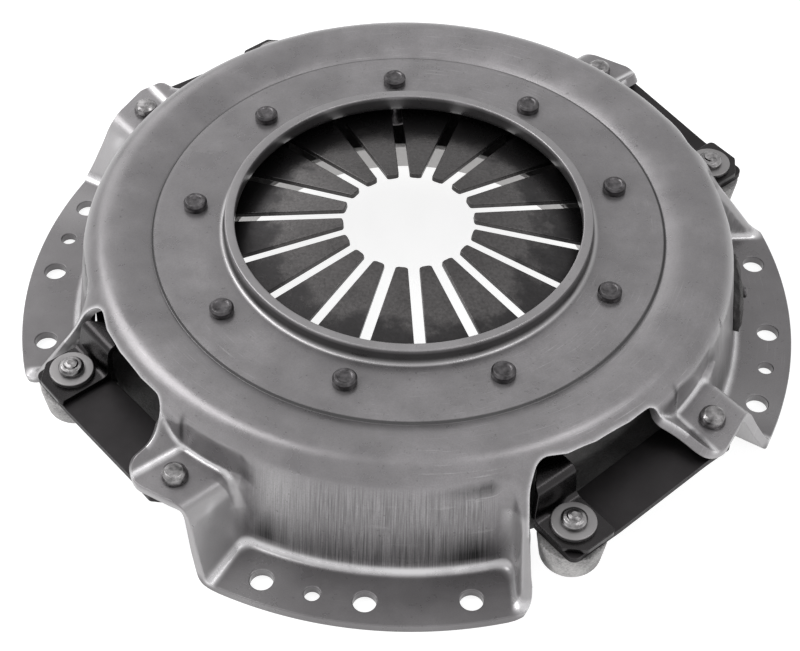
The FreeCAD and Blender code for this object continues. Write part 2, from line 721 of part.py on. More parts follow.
clip = clip.cut(Part.makeCylinder(PIN_R + PIN_GAP, CREST_Z))
clip.rotate(HOME, UP, heading - 90)
clip = moved(clip, lug_spot.x, lug_spot.y, 0)

# Rivets and washers
washer_steps = [
    (PIN_R + PIN_GAP, 0.0),
    (WASHER_R, 0.0),
    (WASHER_R, WASHER_H - WASHER_EDGE),
    (WASHER_R - WASHER_EDGE, WASHER_H),
    (PIN_R + PIN_GAP, WASHER_H),
]
lug_base = LUG_FOOT_Z + EDGE - WASHER_TOP_Z
lug_pin_steps = [
    (0.0, lug_base),
    (TAIL_R, lug_base),
    (TAIL_R, lug_base + TAIL_H),
    (PIN_R, lug_base + TAIL_H),
    (PIN_R, 0.0),
    (LUG_HEAD_R, 0.0),
    (LUG_HEAD_R, LUG_HEAD_H - EDGE),
    (LUG_HEAD_R - EDGE, LUG_HEAD_H),
    (NIB_R, LUG_HEAD_H),
    (NIB_R - EDGE, LUG_HEAD_H + NIB_H),
    (0.0, LUG_HEAD_H + NIB_H),
]
ear_base = -SHEET - STRAP_PACK
ear_pin_steps = [
    (0.0, ear_base - TAIL_H),
    (TAIL_R - EDGE, ear_base - TAIL_H),
    (TAIL_R, ear_base - TAIL_H + EDGE),
    (TAIL_R, ear_base),
    (PIN_R, ear_base),
    (PIN_R, 0.0),
    (EAR_HEAD_R, 0.0),
    (EAR_HEAD_R, EAR_HEAD_H - 2 * EDGE),
    (EAR_HEAD_R - 2 * EDGE, EAR_HEAD_H),
    (0.0, EAR_HEAD_H),
]
quarters = [QUARTER * k for k in range(SECTORS)]
washers = [turned_pin(washer_steps, LUG_R, EAR_ANGLE + q, CLIP_TOP_Z) for q in quarters]
lug_pins = [turned_pin(lug_pin_steps, LUG_R, EAR_ANGLE + q, WASHER_TOP_Z) for q in quarters]
ear_pins = [turned_pin(ear_pin_steps, EAR_R, q - EAR_ANGLE, EAR_Z) for q in quarters]

# Balance weight: a curved block on the outside of the wall, held by one small pin
weight_ring = revolved([
    (wall_r(WEIGHT_LOW_Z), WEIGHT_LOW_Z),
    (wall_r(WEIGHT_LOW_Z) + WEIGHT_T, WEIGHT_LOW_Z),
    (wall_r(WEIGHT_HIGH_Z) + WEIGHT_T, WEIGHT_HIGH_Z),
    (wall_r(WEIGHT_HIGH_Z), WEIGHT_HIGH_Z),
])
weight_low = WEIGHT_ANGLE - WEIGHT_SPAN / 2
weight_high = WEIGHT_ANGLE + WEIGHT_SPAN / 2
wedge = plate([HOME, polar(FLANGE_R, weight_low), polar(FLANGE_R, weight_high)], 0.0, CREST_Z)
weight = weight_ring.common(wedge)
weight_mid = (WEIGHT_LOW_Z + WEIGHT_HIGH_Z) / 2
pin_seat = wall_r(weight_mid) + WEIGHT_T
pin_line = polar(1.0, WEIGHT_ANGLE)
pin_start = polar(pin_seat - WEIGHT_T, WEIGHT_ANGLE, weight_mid)
weight_pin = Part.makeCylinder(WEIGHT_PIN_R, WEIGHT_T + WEIGHT_PIN_H, pin_start, pin_line)
hole_start = pin_start - pin_line * WEIGHT_PIN_DEPTH
weight_hole = Part.makeCylinder(WEIGHT_PIN_R + PIN_GAP, FAR, hole_start, pin_line)
weight = weight.cut(weight_hole)
weight_pin = weight_pin.cut(dome)

nodes = {
    "cover": cover,
    "pressure_plate": pressure_plate,
    "diaphragm_spring": spring,
    "fulcrum_ring_upper": upper_ring,
    "fulcrum_ring_lower": lower_ring,
    "spacer_rivets": spacers,
    "lug_washers": Part.makeCompound(washers),
    "lug_rivets": Part.makeCompound(lug_pins),
    "ear_rivets": Part.makeCompound(ear_pins),
    "balance_weight": weight,
    "balance_weight_pin": weight_pin,
}
LETTERS = "abcdefgh"
for k in range(SECTORS):
    nodes["retraction_clip_%d" % (k + 1)] = turned(clip, QUARTER * k)
    for level in range(STRAP_LEAVES):
        nodes["strap_%d%s" % (k + 1, LETTERS[level])] = turned(leaf(level), QUARTER * k)

for name, shape in nodes.items():
    if len(shape.Solids) == 1:
        shape = shape.Solids[0]
    shape.exportStep("parts/%s.step" % name)
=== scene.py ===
from math import acos, asin, atan2, cos, degrees, hypot, pi, radians, sin, tan

import bmesh
import bpy
import numpy as np
from mathutils import Matrix, Vector, noise
from mathutils.geometry import delaunay_2d_cdt
from mathutils.kdtree import KDTree


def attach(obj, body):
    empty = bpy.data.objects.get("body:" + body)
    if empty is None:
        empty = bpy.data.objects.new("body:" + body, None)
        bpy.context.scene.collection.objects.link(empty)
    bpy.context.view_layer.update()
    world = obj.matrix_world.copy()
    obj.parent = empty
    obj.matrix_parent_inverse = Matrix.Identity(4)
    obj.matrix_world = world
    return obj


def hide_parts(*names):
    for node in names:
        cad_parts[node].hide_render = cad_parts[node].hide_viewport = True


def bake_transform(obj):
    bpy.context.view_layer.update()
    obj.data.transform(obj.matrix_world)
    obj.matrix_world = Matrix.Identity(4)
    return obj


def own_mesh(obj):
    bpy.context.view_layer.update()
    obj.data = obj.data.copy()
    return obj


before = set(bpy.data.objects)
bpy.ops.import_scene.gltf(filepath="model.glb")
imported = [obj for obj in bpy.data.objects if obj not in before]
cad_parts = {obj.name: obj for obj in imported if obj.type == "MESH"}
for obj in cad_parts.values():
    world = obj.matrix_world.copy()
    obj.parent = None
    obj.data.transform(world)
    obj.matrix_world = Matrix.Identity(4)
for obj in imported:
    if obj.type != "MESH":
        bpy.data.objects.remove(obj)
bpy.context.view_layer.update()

# Sizes are in mm and angles in degrees, apart from those made with radians.
# Meshes are scaled to metres when they are made.
MM = 0.001

# Sizes that the solids have too
SHEET = 5.0
FLANGE_R = 200.0
WALL_FOOT_R = 170.0
LEAN = radians(7.7)
CREST_R = 149.0
CREST_Z = 66.3
ANNULUS_R = 127.5
ANNULUS_Z = 62.5
UNDER_Z = ANNULUS_Z - SHEET
STEP = 1.2
COLLAR_OUT_R = 91.9
COLLAR_TOP_Z = 70.8
COLLAR_BEND = 3.0
WINDOW_R = 161.0
BOLT_R = 187.8
EAR_Z = 41.0
EAR_R = 179.0
EAR_ANGLE = 30.75
LUG_R = 179.5
LUG_TOP_Z = 27.4
SPACER_R = 108.2
RIVET_HOLE_R = 5.1
WIRE_R = 2.5
WIRE_CIRCLE_R = 117.5
PLAY = 0.3
SPRING_T = 2.8
SPRING_SLOPE = radians(9.27)
SPRING_RIM_R = 144.0
TIP_R = 33.0
TIP_CUT = 0.6
FINGERS = 18
SLOT_HALF = 2.8
KEYHOLE_R = 6.5
LEAF = 1.2
STRAP_HALF = 14.0
STRAP_RISE = 5.0
CLIP_T = 3.0
CLIP_HALF = 13.0
CLIP_TOP_Z = 34.0
TONGUE_R = 140.0
PLATE_BORE_R = 97.4
PLATE_RIM_R = 160.2
PLATE_BACK_Z = 26.3
RIDGE_R = (135.5, 140.5)
FRICTION_Z = 9.6
BOSS_FOOT_R, BOSS_TOP_R = 14.2, 16.5
BOSS_FOOT_Z = 10.0
TAIL_R, TAIL_TOP_Z = 7.6, 13.0
WEB_HALF = 8.0
WEB_Z = (10.5, 25.2)
EAR_ANGLES = [90 * k - EAR_ANGLE for k in range(4)]
LUG_ANGLES = [90 * k + EAR_ANGLE for k in range(4)]
SPACER_ANGLES = [180 + 40 * k for k in range(9)]

# Sizes of the scene alone: the rounding of cut edges, and the radius inside which the cover is turned
EDGE = 0.6
SPRING_EDGE = 0.45
LEAF_EDGE = 0.25
CLIP_EDGE = 0.35
INNER_R = 140.0
INNER_POINTS = 480
EDGE_TURNS = [radians(a) for a in (22.5, 45.0, 67.5, 90.0)]
UNBROKEN = 1e9

# The holes of one flange sector: angle from its middle, radius, points of the mesh
SECTOR_HOLES = [(-15.0, 5.5, 40), (0.0, 5.5, 40), (15.0, 5.5, 40), (-7.5, 3.8, 32)]


# Mesh helpers
def polar(r, deg):
    a = np.radians(deg)
    return np.stack([r * np.cos(a), r * np.sin(a)], -1)


def make_mesh(name, verts, faces, material, smooth=True, normals=None, paint=None):
    """A mesh object of the points that faces use; paint gives attributes by name."""
    me = bpy.data.meshes.new(name)
    used = np.unique(np.concatenate([np.asarray(f) for f in faces]))
    place = np.zeros(len(verts), int)
    place[used] = np.arange(len(used))
    points = np.asarray(verts)[used] * MM
    me.from_pydata([tuple(v) for v in points], [], [tuple(int(place[i]) for i in f) for f in faces])
    me.validate()
    me.update()
    if smooth:
        me.polygons.foreach_set("use_smooth", [True] * len(me.polygons))
    if normals is not None:
        me.normals_split_custom_set_from_vertices([tuple(n) for n in normals[used]])
    for key, weights in (paint or {}).items():
        values = weights[used].astype(np.float32)
        me.attributes.new(key, "FLOAT", "POINT").data.foreach_set("value", values)
    me.materials.append(material)
    ob = bpy.data.objects.new(name, me)
    bpy.context.scene.collection.objects.link(ob)
    return ob


def rounded_path(corners, step=1.2, closed=True):
    """A polyline through corners (x, y, bend radius) with arcs for bends, sampled about every step."""
    straight_angle, least_gap, coarsest_turn = 3.12, 0.05, 0.2
    points = [np.array(c[:2], float) for c in corners]
    n = len(points)
    cuts = []
    for k, p in enumerate(points):
        bend = corners[k][2]
        if not closed and k in (0, n - 1):
            cuts.append([p])
            continue
        a, b = points[k - 1], points[(k + 1) % n]
        u = (a - p) / np.linalg.norm(a - p)
        v = (b - p) / np.linalg.norm(b - p)
        angle = acos(max(-1.0, min(1.0, float(u @ v))))
        if bend <= 0 or angle > straight_angle:
            cuts.append([p])
            continue
        half = angle / 2
        reach = bend / tan(half)
        centre = p + (u + v) / np.linalg.norm(u + v) * bend / sin(half)
        s, e = p + u * reach - centre, p + v * reach - centre
        a0, a1 = atan2(s[1], s[0]), atan2(e[1], e[0])
        turn = (a1 - a0 + pi) % (2 * pi) - pi
        m = max(3, int(abs(turn) * bend / step) + 1, int(abs(turn) / coarsest_turn) + 1)
        angles = [a0 + turn * t / m for t in range(m + 1)]
        cuts.append([centre + bend * np.array([cos(a), sin(a)]) for a in angles])
    out = []
    for k in range(n):
        out += cuts[k]
        if closed or k < n - 1:
            a, b = cuts[k][-1], cuts[(k + 1) % n][0]
            m = int(np.linalg.norm(b - a) / step)
            out += [a + (b - a) * t / (m + 1) for t in range(1, m + 1)]
    kept = [out[0]]
    for p in out[1:]:
        if np.linalg.norm(p - kept[-1]) > least_gap:
            kept.append(p)
    return np.array(kept)


def soften(profile, closed=False):
    """A profile of corners (r, z, bend radius) with its bends rounded."""
    return [tuple(p) for p in rounded_path(profile, step=UNBROKEN, closed=closed)]


def circle(x, y, r, n):
    t = np.arange(n) / n * 2 * np.pi
    return np.stack([x + r * np.cos(t), y + r * np.sin(t)], -1)


def arc(cx, cz, r, a0, a1, step=6.0):
    m = max(2, int(abs(a1 - a0) / step) + 1)
    t = np.radians(np.linspace(a0, a1, m + 1))
    return [(cx + r * cos(a), cz + r * sin(a)) for a in t]


def turn2(p, deg):
    a = radians(deg)
    return p @ np.array([[cos(a), sin(a)], [-sin(a), cos(a)]])


def grid(r0, r1, dr, a0, a1, arc_step):
    """Points on rings of a sector."""
    rows = []
    for r in np.arange(r0, r1 + 1e-6, dr):
        n = max(2, int(radians(a1 - a0) * r / arc_step))
        rows.append(polar(r, a0 + (np.arange(n) + 0.5) / n * (a1 - a0)))
    return np.concatenate(rows)


def even_rows(radii, n):
    """Rings of n points over one quarter."""
    angles = -45 + (np.arange(n) + 0.5) * 90 / n
    return np.concatenate([polar(r, angles) for r in radii])


def outside(p, box):
    """The points outside a box (least radius, largest radius, least angle, largest angle)."""
    r0, r1, a0, a1 = box
    r = np.hypot(p[:, 0], p[:, 1])
    a = np.degrees(np.arctan2(p[:, 1], p[:, 0]))
    return p[~((r > r0) & (r < r1) & (a > a0) & (a < a1))]


def gap_to(points, loops):
    """Each point's distance to the nearest loop point."""
    every = np.concatenate(loops)
    tree = KDTree(len(every))
    for i, p in enumerate(every):
        tree.insert((p[0], p[1], 0), i)
    tree.balance()
    return np.array([tree.find((p[0], p[1], 0))[2] for p in points])


def in_loop(loop):
    """A test for points inside a closed loop."""
    a = np.asarray(loop)
    b = np.roll(a, -1, axis=0)

    def test(x, y):
        inside = np.zeros(len(x), bool)
        for (x0, y0), (x1, y1) in zip(a, b):
            if y0 == y1:
                continue
            cross = (y0 > y) != (y1 > y)
            inside ^= cross & (x < (x1 - x0) * (y - y0) / (y1 - y0) + x0)
        return inside

    return test


def triangulate(loops, inside, keep):
    """Triangles between loops and through the inside points, where keep(x, y) says there is material."""
    pts, edges = [], []
    for loop in loops:
        first = len(pts)
        pts += [Vector((float(p[0]), float(p[1]))) for p in loop]
        edges += [(first + i, first + (i + 1) % len(loop)) for i in range(len(loop))]
    pts += [Vector((float(p[0]), float(p[1]))) for p in inside]
    res = delaunay_2d_cdt(pts, edges, [], 0, 1e-6)
    verts = np.array([tuple(v) for v in res[0]])
    tris = np.array([t for t in res[2] if len(t) == 3])
    mid = verts[tris].mean(axis=1)
    return verts, tris[keep(mid[:, 0], mid[:, 1])]


def walls(rows):
    """Faces between neighbouring rows of vertex numbers, each row a closed loop."""
    faces = []
    for r0, r1 in zip(rows, rows[1:]):
        faces += zip(np.roll(r0, -1), r0, r1, np.roll(r1, -1))
    return faces


def sheet(name, loops, open_loops, inside, inside_low, keep, surf, thick, material, edge,
          extra=None, marks=None):
    """A sheet of even thickness: top from surf(u, v), bottom one thickness inside, rounded cut edges.
    open_loops get no edge, and extra(first free number, top rows, bottom rows) closes them.
    marks(points) gives weights to paint on the top and the upper half of each edge."""
    every = list(loops) + list(open_loops)
    uv, tris = triangulate(every, inside, keep)
    P, N = surf(uv[:, 0], uv[:, 1])
    uv_low, tris_low = triangulate(every, inside_low, keep)
    P_low, N_low = surf(uv_low[:, 0], uv_low[:, 1])
    verts = [P, P_low - N_low * thick]
    normals = [N, -N_low]
    low = len(P)
    count = low + len(P_low)
    faces = [tuple(t) for t in tris] + [(low + t[0], low + t[2], low + t[1]) for t in tris_low]
    top_marks = marks(P) if marks else {}
    paint = {key: [w, np.zeros(len(P_low))] for key, w in top_marks.items()}
    rims, first = [], 0
    for loop in every:
        rims.append(np.arange(first, first + len(loop)))
        first += len(loop)
    for rim in rims[:len(loops)]:
        p, nn, n = P[rim], N[rim], len(rim)
        out = np.cross(np.roll(p, -1, axis=0) - np.roll(p, 1, axis=0), nn)
        out /= np.linalg.norm(out, axis=1)[:, None] + 1e-9
        rows = [rim]
        for a, up in [(a, 1) for a in EDGE_TURNS] + [(a, -1) for a in reversed(EDGE_TURNS)]:
            rows.append(np.arange(count, count + n))
            count += n
            base = p if up == 1 else p - thick * nn
            verts.append(base + edge * (sin(a) * out - up * (1 - cos(a)) * nn))
            normals.append(sin(a) * out + up * cos(a) * nn)
            for key, w in top_marks.items():
                paint[key].append(w[rim] if up == 1 else np.zeros(n))
        rows.append(low + rim)
        faces += walls(rows)
    if extra is not None:
        tops = rims[len(loops):]
        more_v, more_f = extra(count, tops, [t + low for t in tops])
        verts.append(more_v)
        normals.append(np.zeros((len(more_v), 3)))
        faces += more_f
    for key, rows in paint.items():
        rows.append(np.zeros(sum(map(len, verts)) - sum(map(len, rows))))
        paint[key] = np.concatenate(rows)
    return make_mesh(name, np.concatenate(verts), faces, material,
                     normals=np.concatenate(normals), paint=paint)


def revolve_rows(profile, angles):
    """One ring of points for each profile point."""
    profile = np.asarray(profile, float)
    r, z = profile[:, 0], profile[:, 1:2]
    x, y = np.outer(r, np.cos(angles)), np.outer(r, np.sin(angles))
    return np.stack([x, y, np.repeat(z, len(angles), 1)], -1)


def turned(name, profile, place, material, n=48, tilt=None):
    """A solid of revolution from a profile that starts and ends on the axis or closes on itself."""
    closed = profile[0][0] > 1e-6
    rows = revolve_rows(profile, np.arange(n) / n * 2 * np.pi)
    m = len(rows)
    verts = rows.reshape(-1, 3)
    faces = []
    for k in range(m if closed else m - 1):
        a, b = k * n, ((k + 1) % m) * n
        for i in range(n):
            j = (i + 1) % n
            faces.append((a + i, b + i, b + j, a + j))
    if tilt is not None:
        verts = verts @ np.array(tilt).T
    ob = make_mesh(name, verts + np.array(place), faces, material)
    clean(ob)
    return ob


def clean(ob):
    """Merges doubled points and turns the faces outwards."""
    bm = bmesh.new()
    bm.from_mesh(ob.data)
    bmesh.ops.remove_doubles(bm, verts=bm.verts, dist=0.00001)
    bmesh.ops.recalc_face_normals(bm, faces=bm.faces)
    bm.to_mesh(ob.data)
    bm.free()


def joined(name, parts):
    """Several meshes as one."""
    bpy.context.view_layer.update()
    with bpy.context.temp_override(active_object=parts[0], object=parts[0],
                                   selected_objects=parts, selected_editable_objects=parts):
        bpy.ops.object.join()
    parts[0].name = name
    parts[0].data.name = name
    return parts[0]


# Cover surface: fields that are 0 on a face and grow above it, blended where faces meet
def smin(a, b, k):
    h = np.clip(0.5 + 0.5 * (b - a) / k, 0, 1)
    return b * (1 - h) + a * h - k * h * (1 - h)


def smax(a, b, k):
    return -smin(-a, -b, k)


def crease(a, b, k):
    """1 in the middle of the fillet that smin makes, 0 outside it."""
    h = np.clip(0.5 + 0.5 * (b - a) / k, 0, 1)
    return 4 * h * (1 - h)


def part(distance, whole):
    """The share of a whole that a distance has reached, from 0 to 1."""
    return np.clip(distance / whole, 0, 1)


def bell(distance, width):
    return np.exp(-(distance / width) ** 2)


COS, SIN = cos(LEAN), sin(LEAN)
SHOULDER = ((WALL_FOOT_R - CREST_R) * COS - (CREST_Z - SHEET) * SIN) / (1 - SIN)
SHOULDER_Z = CREST_Z - SHOULDER
RISE_RUN = CREST_R - ANNULUS_R - STEP
RISE_DROP = CREST_Z - ANNULUS_Z + STEP
RISE = (RISE_RUN ** 2 + RISE_DROP ** 2) / (2 * RISE_DROP)
RIB_SLOPE = radians(40.4)
RIB_OFFSET = 12.6
RIB_HEADING = (-0.2756, -0.961)
RIB_TOP_Z = 57.0
TOE_SPOT = (167.2, -64.3)
TOE_HEADING = (-0.397, -0.918)
TOE_RISE = 36.0
TOE_WIDTH, TOE_SPREAD = 8.1, 0.41
BACK_R = 163.2
BACK_ANGLE = -27.4
BACK_HALF_ANGLE = 5.5
DENT_DEPTH = 2.0
DENT_Z = 53.5
GUSSET_SPOT = (176.3, 69.3)
GUSSET_SKEW = 0.15
GUSSET_LEAN = 0.035
GUSSET_RIM_R = 196.5
GUSSET_CONE = 0.66
GUSSET_TOP_Z = 55.0
# fillets where two fields meet; the ear's grows towards the foot
RIB_FILLET, RIB_TOP_FILLET, TOE_FILLET, BACK_FILLET = 2.2, 6.0, 9.0, 0.7
FACE_FILLET, GUSSET_TOP_FILLET, GUSSET_FILLET, FOOT_FILLET = 5.0, 7.0, 10.0, 4.5
EAR_FILLET, EAR_FILLET_GROWTH = 2.6, 4.4
# ears and gussets rise out of reach beyond these angles, where the windows are
EAR_END, GUSSET_END, RISE_AWAY = -41.0, 35.0, 40.0


def quarter_forms(x, y, z):
    """The fields of one quarter, its sector on +X, by name."""
    r = np.hypot(x, y)
    turn = np.degrees(np.arctan2(y, x))
    vx, vz = r - CREST_R, z - SHOULDER_Z
    wall = (r - WALL_FOOT_R) * COS + (z - SHEET) * SIN
    shoulder = np.hypot(vx, vz) - SHOULDER
    rise = np.hypot(vx, z - CREST_Z + RISE) - RISE
    dome = np.where(vx < 0, rise, np.where(vz * COS > vx * SIN, shoulder, wall))
    # the ear: a flat floor with a rib beside it, and a slope from there to the foot
    c, s = cos(radians(EAR_ANGLE)), sin(radians(EAR_ANGLE))
    ex, ey = x * c - y * s, x * s + y * c
    side = (ex - EAR_R) * RIB_HEADING[0] + (ey + RIB_OFFSET) * RIB_HEADING[1]
    rib = (z - EAR_Z) * cos(RIB_SLOPE) - side * sin(RIB_SLOPE)
    rib = smax(rib, z - RIB_TOP_Z, RIB_TOP_FILLET)
    top = smin(z - EAR_Z, rib, RIB_FILLET) + RISE_AWAY * part(EAR_END - turn, 3.5) ** 2
    tx, ty = x - TOE_SPOT[0], y - TOE_SPOT[1]
    down = tx * TOE_HEADING[0] + ty * TOE_HEADING[1]
    along = tx * -TOE_HEADING[1] + ty * TOE_HEADING[0]
    width = np.clip(TOE_WIDTH + TOE_SPREAD * (along + 6), 7.0, 20.0)
    slope = (z - SHEET - TOE_RISE * down / width) * width / np.hypot(width, TOE_RISE)
    ear = smax(top, slope, TOE_FILLET)
    ear_fillet = EAR_FILLET + EAR_FILLET_GROWTH * part(38.0 - z, 12.0)
    # a flat facet of the wall behind the ear, and a scoop in the pocket's other upper corner
    back = (r - BACK_R + 0.055 * (z - EAR_Z) - 0.5 * np.maximum(42.0 - z, 0)
            - 0.7 * np.maximum(np.abs(turn - BACK_ANGLE) - BACK_HALF_ANGLE, 0))
    dent = DENT_DEPTH * bell(z - DENT_Z, 4.2) * part(turn - 8.5, 9.5) ** 1.2 * part(20.8 - turn, 1.4)
    face = GUSSET_SPOT[1] + (x - GUSSET_SPOT[0]) * GUSSET_SKEW + (z - SHEET) * GUSSET_LEAN - y
    cone = (r - GUSSET_RIM_R + GUSSET_CONE * (z - SHEET)) / 1.198
    gusset = smax(smax(face, cone, FACE_FILLET), z - GUSSET_TOP_Z, GUSSET_TOP_FILLET)
    gusset = gusset + RISE_AWAY * part(turn - GUSSET_END, 9.0) ** 2
    return {"turn": turn, "dome": smax(dome + dent, back, BACK_FILLET), "rib": rib, "slope": slope,
            "down": down, "along": along, "ear": ear, "ear_fillet": ear_fillet, "dent": dent,
            "gusset": gusset}


def above_foot(forms):
    """Dome, ear and gusset blended into one field."""
    pocket = smin(forms["dome"], forms["ear"], forms["ear_fillet"])
    return smin(pocket, forms["gusset"], GUSSET_FILLET)


def cover_f(x, y, z):
    """Distance above the cover's outer face, in one quarter with its sector on +X."""
    return smin(above_foot(quarter_forms(x, y, z)), z - SHEET, FOOT_FILLET)


def quarter_frame(x, y):
    """Turns points into the frame of their own quarter."""
    k = np.round(np.degrees(np.arctan2(y, x)) / 90.0)
    a = np.radians(90.0 * k)
    c, s = np.cos(a), np.sin(a)
    return x * c + y * s, -x * s + y * c, c, s


def cover_surface(x, y):
    """Points and normals of the outer face: its height is found by halving, its slope by small steps."""
    above_all, halvings, h = 72.0, 34, 0.03
    qx, qy, c, s = quarter_frame(x, y)
    low = np.full(len(x), 0.0)
    high = np.full(len(x), above_all)
    for _ in range(halvings):
        mid = (low + high) / 2
        below = cover_f(qx, qy, mid) < 0
        low = np.where(below, mid, low)
        high = np.where(below, high, mid)
    z = (low + high) / 2
    gx = cover_f(qx + h, qy, z) - cover_f(qx - h, qy, z)
    gy = cover_f(qx, qy + h, z) - cover_f(qx, qy - h, z)
    gz = cover_f(qx, qy, z + h) - cover_f(qx, qy, z - h)
    g = np.stack([gx * c - gy * s, gx * s + gy * c, gz], -1)
    return np.stack([x, y, z], -1), g / np.linalg.norm(g, axis=1)[:, None]


def cover_marks(p):
    """Painted highlights along the creases and on the slope, and painted shade in the scoop, at the pocket's
    end and in the fold.
    """
    x, y, _, _ = quarter_frame(p[:, 0], p[:, 1])
    z = p[:, 2]
    f = quarter_forms(x, y, z)
    turn, slope = f["turn"], f["slope"]
    # painted highlights: the creases above the ear, by its rib and at the foot, and a spot on the slope's lit
    # side
    by_ear = crease(f["dome"], f["ear"], f["ear_fillet"]) * part(z - 36.0, 4.0)
    by_rib = crease(z - EAR_Z, f["rib"], RIB_FILLET) * (f["ear"] < 1.5) * (slope < 0)
    by_foot = crease(above_foot(f), z - SHEET, FOOT_FILLET)
    on_slope = 0.72 * bell(f["down"] - 9.0, 2.2) * bell(f["along"] - 3.0, 7.0)
    on_slope = on_slope * (slope > -1.5) * (slope < 2.5) * (turn < -15)
    # painted shade: the scoop, the pocket's end by the ear, and the fold beside the ear
    lens_end = bell(turn + 21.2, 1.3) * bell(z - 46.0, 4.0)
    fold = bell(turn + 33.9, 0.5) * part(z - 43.0, 3.0) * part(62.0 - z, 4.0)
    return {"burnish": np.maximum.reduce([by_ear, by_rib, by_foot, on_slope]),
            "grime": np.clip(0.42 * f["dent"] + 0.8 * lens_end + 0.9 * fold, 0, 1)}


def quarter_outline():
    """The cut edge of one quarter in plan, from -45 to +45, one edge rounding inside the real edge."""
    window, rim = WINDOW_R - EDGE, FLANGE_R - EDGE
    ear_side = [(window, -45.0, 0), (window, -39.6, 9), (171.0, -36.6, 22), (187.0, -36.7, 9),
                (193.2, -34.7, 9), (191.6, -32.0, 60), (190.2, -28.2, 60), (189.9, -25.6, 14),
                (195.5, -23.4, 14), (200.0, -21.5, 3), (rim, -20.2, 0)]
    first = rounded_path([(*polar(r, a), bend) for r, a, bend in ear_side], closed=False)
    last = rounded_path([(*polar(rim, 20.6), 0), (*polar(rim, 21.5), 3), (179.4, 76.6, 10), (174.0, 74.4, 30),
                         (161.0, 71.6, 60), (151.8, 70.2, 9), (140.4, 73.0, 10), (*polar(window, 32.5), 10),
                         (*polar(window, 38.0), 0), (*polar(window, 45.0), 0)], closed=False)
    return np.concatenate([first, polar(rim, np.linspace(-19.8, 20.2, 48)), last[:-1]])


# Mesh points of one quarter: where it is folded, finer patches take the place of coarser ones
EAR_BOX = (155.6, 201.0, -39.9, -17.1)
SLOPE_BOX = (163.1, 201.0, -27.3, -18.2)
TOE_BOX = (163.1, 178.3, -24.2, -15.3)
BACK_BOX = (160.9, 165.9, -36.3, -19.3)
GUSSET_BOX = (153.6, 201.0, 15.1, 27.9)
CORNER_BOX = (163.1, 178.3, 14.8, 23.2)
DENT_BOX = (157.7, 165.2, 7.2, 20.9)
PATCHES = [
    ((156.0, 193.0, 0.85, -39.5, -17.5, 0.85), [SLOPE_BOX, TOE_BOX, BACK_BOX]),
    ((163.5, 200.0, 0.55, -27.0, -18.5, 0.55), [TOE_BOX, BACK_BOX]),
    ((163.5, 178.0, 0.35, -24.0, -15.5, 0.5), [BACK_BOX]),
    ((163.5, 178.0, 0.35, 15.0, 23.0, 0.5), [DENT_BOX]),
    ((154.0, 199.0, 0.6, 15.5, 27.5, 0.55), [CORNER_BOX, DENT_BOX]),
    ((161.2, 165.6, 0.2, -36.0, -19.6, 0.75), []),
    ((158.0, 164.9, 0.18, 7.5, 20.6, 1.0), []),
]


def quarter_points():
    """The mesh points inside one quarter, before they are cut to its outline."""
    shoulder_r = [CREST_R + SHOULDER * sin(radians(a)) for a in np.arange(6.0, 82.0, 6.0)]
    dome = even_rows([142.5, 145.0, 147.5] + shoulder_r + list(np.arange(163.8, 168.9, 0.5)), 60)
    foot = even_rows([*np.arange(169.0, 169.75, 0.12), *np.arange(169.84, 175.2, 0.26)], 160)
    flange = grid(176.0, 199.0, 2.6, -45, 45, 2.8)
    found = []
    for points, boxes in [(np.concatenate([dome, foot, flange]), [EAR_BOX, GUSSET_BOX, DENT_BOX])] + [
            (grid(*spec), boxes) for spec, boxes in PATCHES]:
        for box in boxes:
            points = outside(points, box)
        found.append(points)
    return np.concatenate(found)


